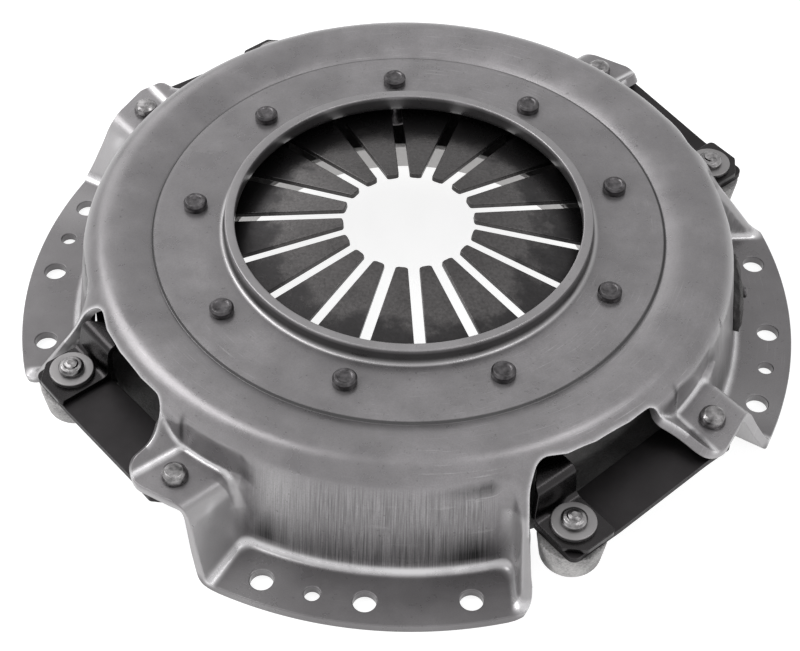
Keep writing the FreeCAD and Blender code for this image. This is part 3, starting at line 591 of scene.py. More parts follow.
def build_cover(material):
    quarter = quarter_outline()
    outline = np.concatenate([turn2(quarter, 90.0 * k) for k in range(4)])
    inner = circle(0, 0, INNER_R, INNER_POINTS)[::-1]
    holes = [circle(*polar(BOLT_R, 90.0 * k + a), r + EDGE, n)[::-1]
             for k in range(4) for a, r, n in SECTOR_HOLES]
    in_quarter = in_loop(np.concatenate([quarter, [polar(WINDOW_R - EDGE, 45.0)], [[-20.0, 0.0]]]))
    inside = quarter_points()
    inside = inside[in_quarter(inside[:, 0], inside[:, 1])]
    inside = np.concatenate([turn2(inside, 90.0 * k) for k in range(4)])
    inside = inside[np.hypot(inside[:, 0], inside[:, 1]) > INNER_R + 0.8]
    crowded = (gap_to(inside, [inner] + holes) < 0.45) | (gap_to(inside, [outline]) < 2.5)
    # rows that follow the cut edge
    ahead = np.roll(outline, -1, axis=0) - np.roll(outline, 1, axis=0)
    inward = np.stack([-ahead[:, 1], ahead[:, 0]], -1) / np.linalg.norm(ahead, axis=1)[:, None]
    fine_rim = np.concatenate([outline, (outline + np.roll(outline, -1, axis=0)) / 2])
    rows = [(outline + inward * d, d) for d in (0.9, 2.0)]
    inside = np.concatenate([inside[~crowded]] + [row[gap_to(row, [fine_rim]) > 0.93 * d] for row, d in rows])

    def keep(x, y):
        qx, qy, _, _ = quarter_frame(x, y)
        ok = in_quarter(qx, qy) & (np.hypot(x, y) > INNER_R)
        for a, r, _ in SECTOR_HOLES:
            px, py = polar(BOLT_R, a)
            ok &= np.hypot(qx - px, qy - py) > r + EDGE
        return ok

    def marks(p):
        """The painted highlights and painted shade of the pressing, with a painted highlight along the cut
        edges of the windows.
        """
        found = cover_marks(p)
        edge_highlight = np.clip(1.0 - gap_to(p, [fine_rim]) / 2.4, 0, 1) * (np.hypot(p[:, 0], p[:, 1]) < 178.0)
        found["burnish"] = np.maximum(found["burnish"], 0.9 * edge_highlight)
        return found

    def close(count, tops, lows):
        """The turned part of the cover: rise, flat annulus with its step, and the collar."""
        bend_z = ANNULUS_Z + COLLAR_BEND
        bend_r = COLLAR_OUT_R + COLLAR_BEND
        collar_in_r = COLLAR_OUT_R - SHEET
        start = 90 + degrees(asin(RISE_RUN / RISE))
        end = 90 + degrees(asin((CREST_R - INNER_R) / RISE))
        profile = arc(CREST_R, CREST_Z - RISE, RISE, end, start - 0.6, 1.2)[1:]
        profile += soften([(*profile[-1], 0), (ANNULUS_R + STEP, ANNULUS_Z - STEP, 0.5),
                           (ANNULUS_R, ANNULUS_Z, 0.7), (ANNULUS_R - 3, ANNULUS_Z, 0)])[1:]
        profile += [(r, ANNULUS_Z) for r in np.linspace(ANNULUS_R - 6, COLLAR_OUT_R + 4, 8)]
        profile += arc(bend_r, bend_z, COLLAR_BEND, 270, 180, 10)
        profile += soften([(COLLAR_OUT_R, bend_z + 1, 0), (COLLAR_OUT_R, COLLAR_TOP_Z, 0.9),
                           (collar_in_r, COLLAR_TOP_Z, 0.9), (collar_in_r, bend_z + 0.5, 0)])
        profile += arc(bend_r, bend_z, COLLAR_BEND + SHEET, 180, 270, 6)
        profile += [(r, UNDER_Z) for r in np.linspace(COLLAR_OUT_R + 6, ANNULUS_R - 1.5, 6)]
        profile += arc(CREST_R, CREST_Z - RISE, RISE - SHEET, start, end, 2.0)[:-1]
        rings = revolve_rows(profile, np.arctan2(inner[:, 1], inner[:, 0]))
        n = len(inner)
        numbers = [np.arange(count + k * n, count + (k + 1) * n) for k in range(len(rings))]
        return rings.reshape(-1, 3), walls([tops[0]] + numbers + [lows[0]])

    return sheet("cover_pressing", [outline] + holes, [inner], inside, inside[::3], keep,
                 cover_surface, SHEET, material, EDGE, extra=close, marks=marks)


# Diaphragm spring: it lies between the two wire rings, with a little play
SPRING_TOP_Z = UNDER_Z - 2 * PLAY - WIRE_R - WIRE_R / cos(SPRING_SLOPE)
UPPER_WIRE_Z = UNDER_Z - PLAY - WIRE_R
LOWER_WIRE_Z = SPRING_TOP_Z - SPRING_T / cos(SPRING_SLOPE) - WIRE_R / cos(SPRING_SLOPE) - PLAY


def spring_z(r):
    return SPRING_TOP_Z - (r - WIRE_CIRCLE_R) * tan(SPRING_SLOPE)


def spring_surface(x, y):
    r = np.hypot(x, y)
    c, s = cos(SPRING_SLOPE), sin(SPRING_SLOPE)
    return np.stack([x, y, spring_z(r)], -1), np.stack([x / r * s, y / r * s, np.full(len(r), c)], -1)


def build_spring(material):
    half, key, tip_r = SLOT_HALF + SPRING_EDGE, KEYHOLE_R + SPRING_EDGE, TIP_R + SPRING_EDGE
    mirror = np.array([1, -1])
    # one slot, walked from the tip's lower corner round the keyhole to its upper corner, and one tip
    opening = degrees(asin(half / key))
    keyhole = polar(key, np.linspace(180 + opening, 540 - opening, 25)) + np.array([SPACER_R, 0.0])
    low = np.stack([np.linspace(tip_r + 2 * TIP_CUT, SPACER_R - 8, 32), np.full(32, -half)], -1)
    tip_low = np.array([[tip_r, -half - TIP_CUT], [tip_r + TIP_CUT / 3, -half - TIP_CUT / 3],
                        [tip_r + TIP_CUT, -half]])
    slot = np.concatenate([tip_low, low, keyhole, low[::-1] * mirror, tip_low[::-1] * mirror])
    pitch = 360.0 / FINGERS
    tip = polar(tip_r, np.linspace(7.7, pitch - 7.7, 5))
    loop = np.concatenate([turn2(piece, pitch * k) for k in range(FINGERS) for piece in (slot, tip)])[::-1]
    rim = circle(0, 0, SPRING_RIM_R - SPRING_EDGE, 240)
    inside = grid(TIP_R + 3, SPRING_RIM_R - 3, 4.0, -180, 180, 4.0)
    inside = inside[gap_to(inside, [loop, rim]) >= 1.6]
    in_slots = in_loop(loop)

    def keep(x, y):
        return (~in_slots(x, y)) & (np.hypot(x, y) < SPRING_RIM_R)

    return sheet("spring_disc", [rim, loop], [], inside, inside[::2], keep, spring_surface, SPRING_T,
                 material, SPRING_EDGE)


# Small turned parts, as profiles of (radius, height from their seat, bend)
FOOT_Z = LOWER_WIRE_Z - WIRE_R - PLAY - ANNULUS_Z
FOOT_LOW_Z = FOOT_Z - 3.0
SPACER_RIVET = [
    (0, FOOT_LOW_Z, 0), (10.5, FOOT_LOW_Z, 0.3), (11, FOOT_LOW_Z + 0.5, 0.3), (11, FOOT_Z, 0),
    (4.6, FOOT_Z, 0), (4.6, 0.0, 0), (5.9, 0.0, 0), (5.9, 3.1, 0.45), (4.9, 4.3, 0.35), (3.9, 4.3, 0.3),
    (3.3, 3.9, 0.4), (0, 3.8, 0),
]
EAR_RIVET = [
    (0, -11.6, 0), (6.8, -11.6, 0.4), (7.5, -10.9, 0.4), (7.5, -8.6, 0), (5.0, -8.6, 0), (5.0, 0.0, 0),
    (6.4, 0.0, 0), (6.4, 1.6, 0.9), (5.7, 3.9, 0.8), (4.2, 4.9, 0.5), (0, 5.0, 0),
]
LUG_RIVET = [
    (0, -25.7, 0), (7.5, -25.7, 0), (7.5, -22.7, 0), (5.0, -22.7, 0), (5.0, 0.0, 0), (6.2, 0.0, 0),
    (6.2, 1.9, 0), (5.1, 3.0, 0.8), (3.5, 3.3, 0.5), (3.2, 4.2, 0.4), (1.6, 4.7, 0.7), (0, 4.6, 0),
]
WASHER_T = 2.5
WASHER = [(RIVET_HOLE_R, 0, 0.2), (10.75, 0, 0.2), (10.75, WASHER_T, 0.5), (RIVET_HOLE_R, WASHER_T, 0.4)]


def ring_wire(name, z, material):
    t = np.radians(np.arange(16) * 22.5)
    profile = [(WIRE_CIRCLE_R + WIRE_R * cos(a), z + WIRE_R * sin(a)) for a in t]
    return turned(name, profile, (0, 0, 0), material, n=180)


def turned_set(name, profile, r, angles, z, material, n=40):
    """The same turned piece at several places of a circle, as one mesh."""
    return joined(name, [turned("%s_%d" % (name, k), profile, (*polar(r, a), z), material, n=n)
                         for k, a in enumerate(angles)])


# Bent strips
def strip(name, side, outline, holes, thick, place, heading, material, edge, step=2.5):
    """A strip bent along side corners (x, z, bend), cut to outline corners (u, v, bend) and holes
    (u, v, radius), where u is the length along the bent strip and v runs across it."""
    path, s = bent_path(side)
    d = np.gradient(path, s, axis=0)
    d /= np.linalg.norm(d, axis=1)[:, None]
    loop = rounded_path(outline, step=step)
    hole_loops = [circle(x, y, r + edge, 28)[::-1] for x, y, r in holes]
    us = np.unique(np.concatenate([s, np.arange(s[0], s[-1], 3.0)]))
    vs = np.arange(-20, 20.1, 3.0)
    inside = np.array([(u, v) for u in us for v in vs], float)
    in_outline = in_loop(loop)
    inside = inside[in_outline(inside[:, 0], inside[:, 1])]
    inside = inside[gap_to(inside, [loop] + hole_loops) >= 0.5]

    def keep(x, y):
        ok = in_outline(x, y)
        for hx, hy, r in holes:
            ok &= np.hypot(x - hx, y - hy) > r + edge
        return ok

    c, si = cos(heading), sin(heading)

    def surf(u, v):
        px, pz = np.interp(u, s, path[:, 0]), np.interp(u, s, path[:, 1])
        tx, tz = np.interp(u, s, d[:, 0]), np.interp(u, s, d[:, 1])
        P = np.stack([px * c - v * si + place[0], px * si + v * c + place[1], pz + 0 * v], -1)
        N = np.stack([-tz * c, -tz * si, tx], -1)
        return P, N / np.linalg.norm(N, axis=1)[:, None]

    return sheet(name, [loop] + hole_loops, [], inside, inside, keep, surf, thick, material, edge)


def bent_path(side):
    """The bent side of a strip's upper face, and the length at each of its points."""
    path = rounded_path(side, step=UNBROKEN, closed=False)
    d = np.diff(path, axis=0)
    return path, np.concatenate([[0], np.cumsum(np.hypot(d[:, 0], d[:, 1]))])


LUG_SPOT = polar(LUG_R, EAR_ANGLE)
EAR_SPOT = polar(EAR_R, 90 - EAR_ANGLE)
PITCH = float(np.linalg.norm(EAR_SPOT - LUG_SPOT))
HEADING = atan2(EAR_SPOT[1] - LUG_SPOT[1], EAR_SPOT[0] - LUG_SPOT[0])


def build_strap(k, level, material):
    """One leaf: flat at the lug, a rise, and flat again at the ear."""
    e = LEAF_EDGE
    past_lug, flat, past_ear, cut = 12.5 - e, 17.0, 7.0 - e, 8.0
    low = LUG_TOP_Z + LEAF * (level + 1)
    half = STRAP_HALF - e
    side = [(-past_lug, low, 0), (flat, low, 12), (PITCH - flat, low + STRAP_RISE, 12),
            (PITCH + past_ear, low + STRAP_RISE, 0)]
    total = 29.5 - e + hypot(PITCH - 2 * flat, STRAP_RISE) + 24.0 - e
    outline = [(0, -half, 4), (total - cut, -half, 2), (total, cut - STRAP_HALF, 2),
               (total, STRAP_HALF - cut, 2), (total - cut, half, 2), (0, half, 2)]
    holes = [(past_lug, 0.0, RIVET_HOLE_R), (past_lug + PITCH + 0.14, 0.0, RIVET_HOLE_R)]
    return strip("strap_leaf_%d%s" % (k + 1, "abc"[level]), side, outline, holes, LEAF,
                 turn2(LUG_SPOT, 90.0 * k), HEADING + radians(90 * k), material, e)


def build_clip(k, material):
    """Foot on the strap end, riser, and tongue over the spring rim; u runs outwards from the tongue tip."""
    e = CLIP_EDGE
    tongue_z = spring_z(TONGUE_R) + PLAY + CLIP_T
    foot = 15.0
    side = [(TONGUE_R - LUG_R + e, tongue_z, 0), (-14.0, tongue_z, 4.2), (-12.0, CLIP_TOP_Z, 3.2),
            (foot - e, CLIP_TOP_Z, 0)]
    total = bent_path(side)[1][-1]
    neck = total - 27.0
    wide = CLIP_HALF - e
    outline = [(0, -0.5, 1), (neck - 26.0, -0.5, 3), (neck - 18.0, -9.0, 6), (neck, -wide, 4),
               (total - 8.0, -wide, 2), (total, -wide + 8.0, 2), (total, wide, 2.5), (0, wide, 1)]
    heading = HEADING - pi / 2 + radians(90 * k)
    return strip("clip_%d" % (k + 1), side, outline, [(total - foot, 0.0, RIVET_HOLE_R)], CLIP_T,
                 turn2(LUG_SPOT, 90.0 * k), heading, material, e, step=1.5)


# Cast plate and weight
def build_plate(material):
    """The ring with its ridge, and four lugs, each a boss and a web to the ring."""
    ridge_in, ridge_out = RIDGE_R
    ridge_z = spring_z(ridge_out) - SPRING_T / cos(SPRING_SLOPE) - PLAY
    rim, bore, back, front = PLATE_RIM_R, PLATE_BORE_R, PLATE_BACK_Z, FRICTION_Z
    ring = soften([(98.2, front, 0.5), (rim - 0.8, front, 0.5), (rim, 10.4, 0.5), (rim, 24.8, 1.0),
                   (rim - 1.5, back, 1.0), (145.0, back, 3.0), (ridge_out, ridge_z, 1.0),
                   (ridge_in, ridge_z, 1.0), (131.0, back, 3.0), (98.9, back, 1.0), (bore, 24.8, 1.0),
                   (bore, 10.4, 0.5)], closed=True)
    boss = soften([(TAIL_R, BOSS_FOOT_Z, 0), (BOSS_FOOT_R, BOSS_FOOT_Z, 3.5), (BOSS_TOP_R, LUG_TOP_Z, 0.8),
                   (RIVET_HOLE_R, LUG_TOP_Z, 0), (RIVET_HOLE_R, TAIL_TOP_Z, 0), (TAIL_R, TAIL_TOP_Z, 0)])
    inner, outer = rim - 4, LUG_R - 6.0
    web = np.array([(inner, -WEB_HALF), (outer, -WEB_HALF), (outer, WEB_HALF), (inner, WEB_HALF)])
    web_faces = [(3, 2, 1, 0), (4, 5, 6, 7)] + [(i, (i + 1) % 4, 4 + (i + 1) % 4, 4 + i) for i in range(4)]
    parts = [turned("plate_ring", ring, (0, 0, 0), material, n=256)]
    for k, angle in enumerate(LUG_ANGLES):
        parts.append(turned("boss%d" % k, boss, (*polar(LUG_R, angle), 0), material, n=48))
        plan = turn2(web, angle)
        verts = np.concatenate([np.c_[plan, np.full(4, z)] for z in WEB_Z])
        parts.append(make_mesh("web%d" % k, verts, web_faces, material, smooth=False))
    return joined("plate_casting", parts)


WEIGHT_ANGLE = 3.0
WEIGHT_Z = 24.0
WEIGHT_T = 5.4
WEIGHT_SEAT = 5.0
WEIGHT_BOX = ((14.0, 34.0), (-3.5, 9.5))


def wall_r(z):
    return WALL_FOOT_R - (z - SHEET) * tan(LEAN)


def weight_point(u, v, w):
    """A point of the lump: along and up the wall and out from it, each from 0 to 1, with smooth noise."""
    a = WEIGHT_ANGLE + (u - 0.5) * 12.6
    z = 14.4 + 19.2 * v
    r = wall_r(z) + 0.05 + w * WEIGHT_T
    p = Vector((r * 0.11, a * 0.33, z * 0.11))
    if w > 0:
        bump = noise.noise(p) * 0.9 + noise.noise(p * 3.1) * 0.45 + noise.noise(p * 8.0) * 0.15
        square = max(abs(2 * u - 1) ** 6, abs(2 * v - 1) ** 6)
        r += w * (bump - 1.6 * square - 0.5)
    a += 0.35 * noise.noise(p * 2.3 + Vector((7, 0, 0)))
    z += 0.8 * noise.noise(p * 2.1 + Vector((0, 9, 0)))
    z, a = (min(max(value, low), high) for value, (low, high) in zip((z, a), WEIGHT_BOX))
    return (*polar(r, a), z)


def build_weight(material, pin):
    """A rough curved lump on the wall, and its rivet."""
    nu, nv, nw = 40, 24, 8
    verts, index, faces = [], {}, []
    for i in range(nu + 1):
        for j in range(nv + 1):
            for k in range(nw + 1):
                if i in (0, nu) or j in (0, nv) or k in (0, nw):
                    index[(i, j, k)] = len(verts)
                    verts.append(weight_point(i / nu, j / nv, k / nw))

    def quad(*corners):
        faces.append(tuple(index[c] for c in corners))

    for i in range(nu):
        for j in range(nv):
            quad((i, j, nw), (i + 1, j, nw), (i + 1, j + 1, nw), (i, j + 1, nw))
            quad((i, j, 0), (i, j + 1, 0), (i + 1, j + 1, 0), (i + 1, j, 0))
    for i in range(nu):
        for k in range(nw):
            quad((i, 0, k), (i + 1, 0, k), (i + 1, 0, k + 1), (i, 0, k + 1))
            quad((i, nv, k), (i, nv, k + 1), (i + 1, nv, k + 1), (i + 1, nv, k))
    for j in range(nv):
        for k in range(nw):
            quad((0, j, k), (0, j, k + 1), (0, j + 1, k + 1), (0, j + 1, k))
            quad((nu, j, k), (nu, j + 1, k), (nu, j + 1, k + 1), (nu, j, k + 1))
    lump = make_mesh("weight_lump", verts, faces, material)
    clean(lump)
    c, s = cos(radians(WEIGHT_ANGLE)), sin(radians(WEIGHT_ANGLE))
    head = soften([(0, -2, 0), (3.0, -2, 0), (3.0, 1.6, 0.4), (2.0, 2.2, 0.4), (0, 2.2, 0)])
    seat = (*polar(wall_r(WEIGHT_Z) + WEIGHT_SEAT, WEIGHT_ANGLE), WEIGHT_Z)
    return lump, turned("weight_rivet", head, seat, pin, n=28, tilt=[[0, s, c], [0, -c, s], [1, 0, 0]])


# Materials
class Graph:
    """A material's node tree, with short ways to add to it. Lengths in it are in metres."""

    def __init__(self, name):
        self.mat = bpy.data.materials.new(name)
        self.mat.use_nodes = True
        self.nt = self.mat.node_tree
        self.bsdf = self.nt.nodes["Principled BSDF"]

    def feed(self, socket, value):
        if isinstance(value, bpy.types.NodeSocket):
            self.nt.links.new(value, socket)
        else:
            socket.default_value = value

    def node(self, kind, *values, **named):
        """A node with its inputs given in their order or by name."""
        n = self.nt.nodes.new(kind)
        for key, value in [*enumerate(values), *named.items()]:
            self.feed(n.inputs[key], value)
        return n

    def coords(self):
        return self.nt.nodes.new("ShaderNodeTexCoord").outputs["Object"]

    def axes(self, vector):
        return self.node("ShaderNodeSeparateXYZ", vector).outputs

    def noise(self, vector, scale, detail=4.0, rough=0.5):
        return self.node("ShaderNodeTexNoise", Vector=vector, Scale=scale, Detail=detail,
                         Roughness=rough).outputs["Fac"]

    def painted(self, name):
        n = self.nt.nodes.new("ShaderNodeAttribute")
        n.attribute_name = name
        return n.outputs["Fac"]

    def ramp(self, fac, stops):
        n = self.node("ShaderNodeValToRGB", fac)
        while len(n.color_ramp.elements) < len(stops):
            n.color_ramp.elements.new(0.5)
        for e, (position, colour) in zip(n.color_ramp.elements, stops):
            e.position = position
            e.color = (*colour, 1.0)
        return n.outputs["Color"]

    def math(self, op, *values):
        n = self.node("ShaderNodeMath", *values)
        n.operation = op
        return n.outputs[0]

    def times(self, product, *more):
        for value in more:
            product = self.math("MULTIPLY", product, value)
        return product

    def plus(self, a, b):
        return self.math("ADD", a, b)

    def minus(self, a, b):
        return self.math("SUBTRACT", a, b)

    def radius(self, x, y):
        return self.math("SQRT", self.plus(self.times(x, x), self.times(y, y)))

    def mix(self, fac, a, b):
        n = self.nt.nodes.new("ShaderNodeMix")
        n.data_type = "RGBA"
        for place, value in ((0, fac), (6, a), (7, b)):
            self.feed(n.inputs[place], (*value, 1.0) if isinstance(value, tuple) else value)
        return n.outputs[2]

    def span(self, value, a, b, c=0.0, d=1.0):
        """c below a, d above b, and even between them."""
        return self.node("ShaderNodeMapRange", value, a, b, c, d).outputs[0]

    def fade(self, value, a, b):
        return self.span(value, a, b, 1.0, 0.0)

    def band(self, value, a, b, c, d):
        """0 below a, 1 from b to c, 0 above d."""
        return self.times(self.span(value, a, b), self.fade(value, c, d))

    def set(self, **inputs):
        for key, value in inputs.items():
            self.feed(self.bsdf.inputs[key.replace("_", " ")], value)

    def bump(self, height, strength, distance):
        n = self.node("ShaderNodeBump", Strength=strength, Distance=distance, Height=height)
        self.nt.links.new(n.outputs["Normal"], self.bsdf.inputs["Normal"])


def metal(name, colour, rough, patch, grain=900.0, bump=0.15, cloud=18.0):
    """Metal with patches lighter and darker by a share of its colour."""
    g = Graph(name)
    co = g.coords()
    fine = g.noise(co, grain, 3.0, 0.6)
    base = g.ramp(g.noise(co, cloud, 5.0, 0.6), [(0.3, tuple(c * (1 - patch) for c in colour)),
                                                 (0.7, tuple(min(1, c * (1 + patch)) for c in colour))])
    g.set(Metallic=1.0, Base_Color=base, Roughness=g.span(fine, 0.2, 0.8, rough * 0.85, rough * 1.2))
    g.bump(fine, bump, 0.0002)
    return g.mat


def spring_steel():
    """Dark hardened steel, lighter and clouded towards the finger tips, with painted shade darkening it
    towards the rim under the cover.
    """
    g = Graph("spring_steel")
    co = g.coords()
    x, y, _ = g.axes(co)
    cloud = g.noise(co, 60.0, 5.0, 0.65)
    fine = g.noise(co, 700.0, 3.0, 0.6)
    reach = g.plus(g.radius(x, y), g.span(cloud, 0.3, 0.7, -0.012, 0.012))
    # the ramp: lighter wear near the tips, then painted shade darkening the fingers outwards to the rim
    base = g.ramp(g.span(reach, 0.035, 0.095), [(0.0, (0.085, 0.081, 0.081)), (0.45, (0.105, 0.100, 0.100)),
                                                (0.62, (0.045, 0.043, 0.044)), (1.0, (0.018, 0.017, 0.018))])
    base = g.mix(g.span(fine, 0.35, 0.7, 0.0, 0.45), base, (0.02, 0.019, 0.019))
    g.set(Metallic=0.9, Base_Color=base, Roughness=g.span(cloud, 0.3, 0.7, 0.22, 0.34))
    g.bump(fine, 0.15, 0.0002)
    return g.mat


def pressed_steel():
    """Bare drawn sheet: satin and scratched, with draw marks and dirt, and painted highlights and painted
    shade in places.
    """
    bare_and_lit, pale, painted_highlight_grey = (0.50, 0.49, 0.495), (0.55, 0.54, 0.545), (0.60, 0.59, 0.60)
    g = Graph("pressed_steel")
    co = g.coords()
    x, y, z = g.axes(co)
    r = g.radius(x, y)
    angle = g.math("ARCTAN2", y, x)
    # the angle from the middle of the nearest sector, positive towards its gusset
    quarter = g.minus(g.math("MODULO", g.plus(angle, 2.25 * pi), 0.5 * pi), 0.25 * pi)
    off_middle = g.math("ABSOLUTE", quarter)
    broad = g.noise(co, 9.0, 4.0, 0.6)
    cloud = g.noise(co, 45.0, 5.0, 0.65)
    fine = g.noise(co, 1400.0, 3.0, 0.6)
    base = g.ramp(g.plus(g.times(broad, 0.6), g.times(cloud, 0.4)), [
        (0.36, (0.165, 0.158, 0.163)), (0.50, (0.205, 0.197, 0.202)), (0.62, (0.255, 0.245, 0.252))])
    # draw marks: thin streaks that run down the pocket walls, and a smear beside them
    streak_co = g.node("ShaderNodeCombineXYZ", g.times(angle, 260.0), g.times(z, 30.0)).outputs[0]
    marks = g.noise(streak_co, 1.0, 4.0, 0.7)
    in_pocket = g.fade(off_middle, radians(17.0), radians(21.0))
    on_wall = g.times(g.band(r, 0.1620, 0.1645, 0.1705, 0.1725), in_pocket)
    smear = g.ramp(marks, [(0.35, (0.100, 0.096, 0.098)), (0.62, (0.34, 0.330, 0.336))])
    base = g.mix(g.times(on_wall, 0.8), base, smear)
    # painted light: the ear side of each pocket painted lighter, as the lit side of the pocket
    ear_side = g.span(quarter, radians(-8.0), radians(-15.0))
    lit_ear_side = g.times(g.span(r, 0.1610, 0.1640), in_pocket, ear_side)
    base = g.mix(g.times(lit_ear_side, 0.35), base, bare_and_lit)
    # scratches round the axis, specks and grain
    scratch_co = g.node("ShaderNodeCombineXYZ", g.times(angle, 6.0), g.times(r, 1500.0), z).outputs[0]
    scratch = g.span(g.noise(scratch_co, 1.0, 2.0, 0.5), 0.62, 0.75)
    base = g.mix(g.times(scratch, g.span(broad, 0.50, 0.62, 0.05, 0.45)), base, bare_and_lit)
    speck = g.span(g.noise(co, 520.0, 2.0, 0.5), 0.68, 0.76)
    base = g.mix(g.times(speck, 0.45), base, (0.05, 0.048, 0.048))
    base = g.mix(g.span(fine, 0.3, 0.7, 0.0, 0.30), base, (0.11, 0.106, 0.108))
    # darker flanges, a line of painted shade in the step round the flat ring, and painted shade on the collar
    # with painted highlights at its root and top
    on_flange = g.times(g.fade(z, 0.0052, 0.0075), g.span(r, 0.1715, 0.1745))
    base = g.mix(g.times(on_flange, 0.45), base, (0.105, 0.100, 0.102))
    base = g.mix(g.times(g.band(r, 0.1270, 0.1276, 0.1284, 0.1292), 0.75), base, (0.02, 0.02, 0.02))
    collar_shade = g.times(g.fade(r, 0.0922, 0.0935), g.fade(z, 0.0680, 0.0700))
    base = g.mix(g.times(collar_shade, 0.80), base, (0.022, 0.021, 0.021))
    at_root = g.band(r, 0.0926, 0.0936, 0.0940, 0.0952)
    collar_highlight = g.math("MAXIMUM", at_root, g.times(g.span(z, 0.0702, 0.0706), 0.35))
    base = g.mix(g.times(collar_highlight, 0.38), base, pale)
    # dirt and painted shade low on the wall, most in the pocket's corners, and the painted shade of the mesh
    corner = g.math("MAXIMUM", g.span(quarter, radians(-13.0), radians(-18.0)),
                    g.span(quarter, radians(10.0), radians(15.5)))
    low = g.times(g.band(z, 0.0085, 0.0110, 0.0140, 0.0300), in_pocket)
    low_dirt_and_shade = g.times(low, g.plus(g.times(corner, 0.75), 0.35))
    dirt_and_shade = g.times(g.math("MAXIMUM", g.painted("grime"), low_dirt_and_shade), g.span(marks, 0.60, 0.30, 0.7, 1.0))
    base = g.mix(dirt_and_shade, base, (0.010, 0.010, 0.010))
    # painted light: the flanks beside the pocket painted lighter as lit faces, and the painted highlights of
    # the mesh
    lit_flank = g.times(g.span(off_middle, radians(20.5), radians(22.0)),
                    g.band(z, 0.0060, 0.0090, 0.0380, 0.0410))
    base = g.mix(g.times(lit_flank, 0.35), base, pale)
    # painted highlights from the mesh weights, painted lighter and made a little smoother
    burnish = g.times(g.math("POWER", g.painted("burnish"), 3.0), g.span(cloud, 0.3, 0.6, 0.6, 1.1))
    base = g.mix(burnish, base, painted_highlight_grey)
    rough = g.plus(g.span(cloud, 0.3, 0.7, 0.24, 0.38), g.times(on_wall, 0.06))
    g.set(Metallic=0.62, Base_Color=base, Roughness=g.minus(rough, g.times(burnish, 0.08)))
    g.bump(g.plus(g.times(fine, 0.35), g.times(marks, on_wall, 1.6)), 0.25, 0.0002)
    return g.mat


def cast_iron(name, colour, machined=False):
    """Rough iron; machined turns the bore and the friction face bright."""
    g = Graph(name)
    co = g.coords()
    grain = g.noise(co, 900.0, 5.0, 0.75)
    base = g.ramp(g.plus(g.times(grain, 0.5), g.times(g.noise(co, 60.0, 4.0, 0.6), 0.5)),
                  [(0.38, tuple(c * 0.30 for c in colour)), (0.62, tuple(c * 1.45 for c in colour))])
    metallic, rough, height = 0.15, g.span(grain, 0.3, 0.7, 0.45, 0.75), grain
    if machined:
        x, y, z = g.axes(co)
        r = g.radius(x, y)
        cut = g.math("MAXIMUM", g.fade(r, 0.0984, 0.0990), g.fade(z, 0.0100, 0.0106))
        in_shade = g.span(r, 0.1615, 0.1640, 0.85, 0.0)
        base = g.mix(in_shade, base, (0.018, 0.017, 0.017))
        base = g.mix(cut, base, (0.50, 0.49, 0.485))
        metallic = g.plus(g.times(cut, 0.75), metallic)
        rough = g.minus(rough, g.times(cut, 0.2))
        height = g.times(grain, g.minus(1.0, cut))
    g.set(Metallic=metallic, Base_Color=base, Roughness=rough)
    g.bump(height, 0.8, 0.0006)
    return g.mat


M = {
    "cover": pressed_steel(),
    "spring": spring_steel(),
    "wire": metal("wire_steel", (0.16, 0.155, 0.16), 0.36, 0.2),
    "dark": metal("rivet_dark_steel", (0.085, 0.081, 0.084), 0.32, 0.55, 450.0, 0.9, cloud=300.0),
    "bright": metal("rivet_bright_steel", (0.21, 0.204, 0.206), 0.24, 0.75, 350.0, 0.6, cloud=220.0),
    "washer": metal("washer_steel", (0.27, 0.262, 0.264), 0.40, 0.2, 900.0, 0.2),
    "clip": metal("clip_steel", (0.042, 0.040, 0.041), 0.26, 0.3, 700.0, 0.15),
    "strap": metal("strap_steel", (0.032, 0.030, 0.031), 0.42, 0.3, 900.0, 0.12),
    "cast": cast_iron("cast_iron", (0.36, 0.352, 0.348), machined=True),
    "weight": cast_iron("weight_iron", (0.03, 0.028, 0.028)),
}


# The object
def place(obj, body, slot, *nodes):
    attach(obj, body)
    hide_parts(*nodes)


place(build_cover(M["cover"]), "cover_body", "pressed_steel", "cover")
spring = build_spring(M["spring"])
place(spring, "cover_body", "spring_steel", "diaphragm_spring")
place(ring_wire("wire_ring_upper", UPPER_WIRE_Z, M["wire"]), "cover_body", "wire", "fulcrum_ring_upper")
place(ring_wire("wire_ring_lower", LOWER_WIRE_Z, M["wire"]), "cover_body", "wire", "fulcrum_ring_lower")
place(turned_set("spacer_rivet_set", soften(SPACER_RIVET), SPACER_R, SPACER_ANGLES, ANNULUS_Z, M["dark"]),
      "cover_body", "rivet_dark", "spacer_rivets")
place(turned_set("ear_rivet_set", soften(EAR_RIVET), EAR_R, EAR_ANGLES, EAR_Z, M["bright"]),
      "cover_body", "rivet_bright", "ear_rivets")
place(turned_set("lug_rivet_set", soften(LUG_RIVET), LUG_R, LUG_ANGLES, CLIP_TOP_Z + WASHER_T, M["bright"]),
      "plate_body", "rivet_bright", "lug_rivets")
washer = soften(WASHER, closed=True)
place(turned_set("lug_washer_set", washer, LUG_R, LUG_ANGLES, CLIP_TOP_Z, M["washer"], n=64),
      "plate_body", "washer", "lug_washers")
place(build_plate(M["cast"]), "plate_body", "cast_iron", "pressure_plate")
lump, weight_rivet = build_weight(M["weight"], M["dark"])
place(lump, "cover_body", "weight_iron", "balance_weight")
place(weight_rivet, "cover_body", "rivet_dark", "balance_weight_pin")
for k in range(4):
    place(build_clip(k, M["clip"]), "plate_body", "clip_steel", "retraction_clip_%d" % (k + 1))
    for level in range(3):
        leaf = build_strap(k, level, M["strap"])
        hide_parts("strap_%d%s" % (k + 1, "abc"[level]))
        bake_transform(leaf)
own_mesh(spring)

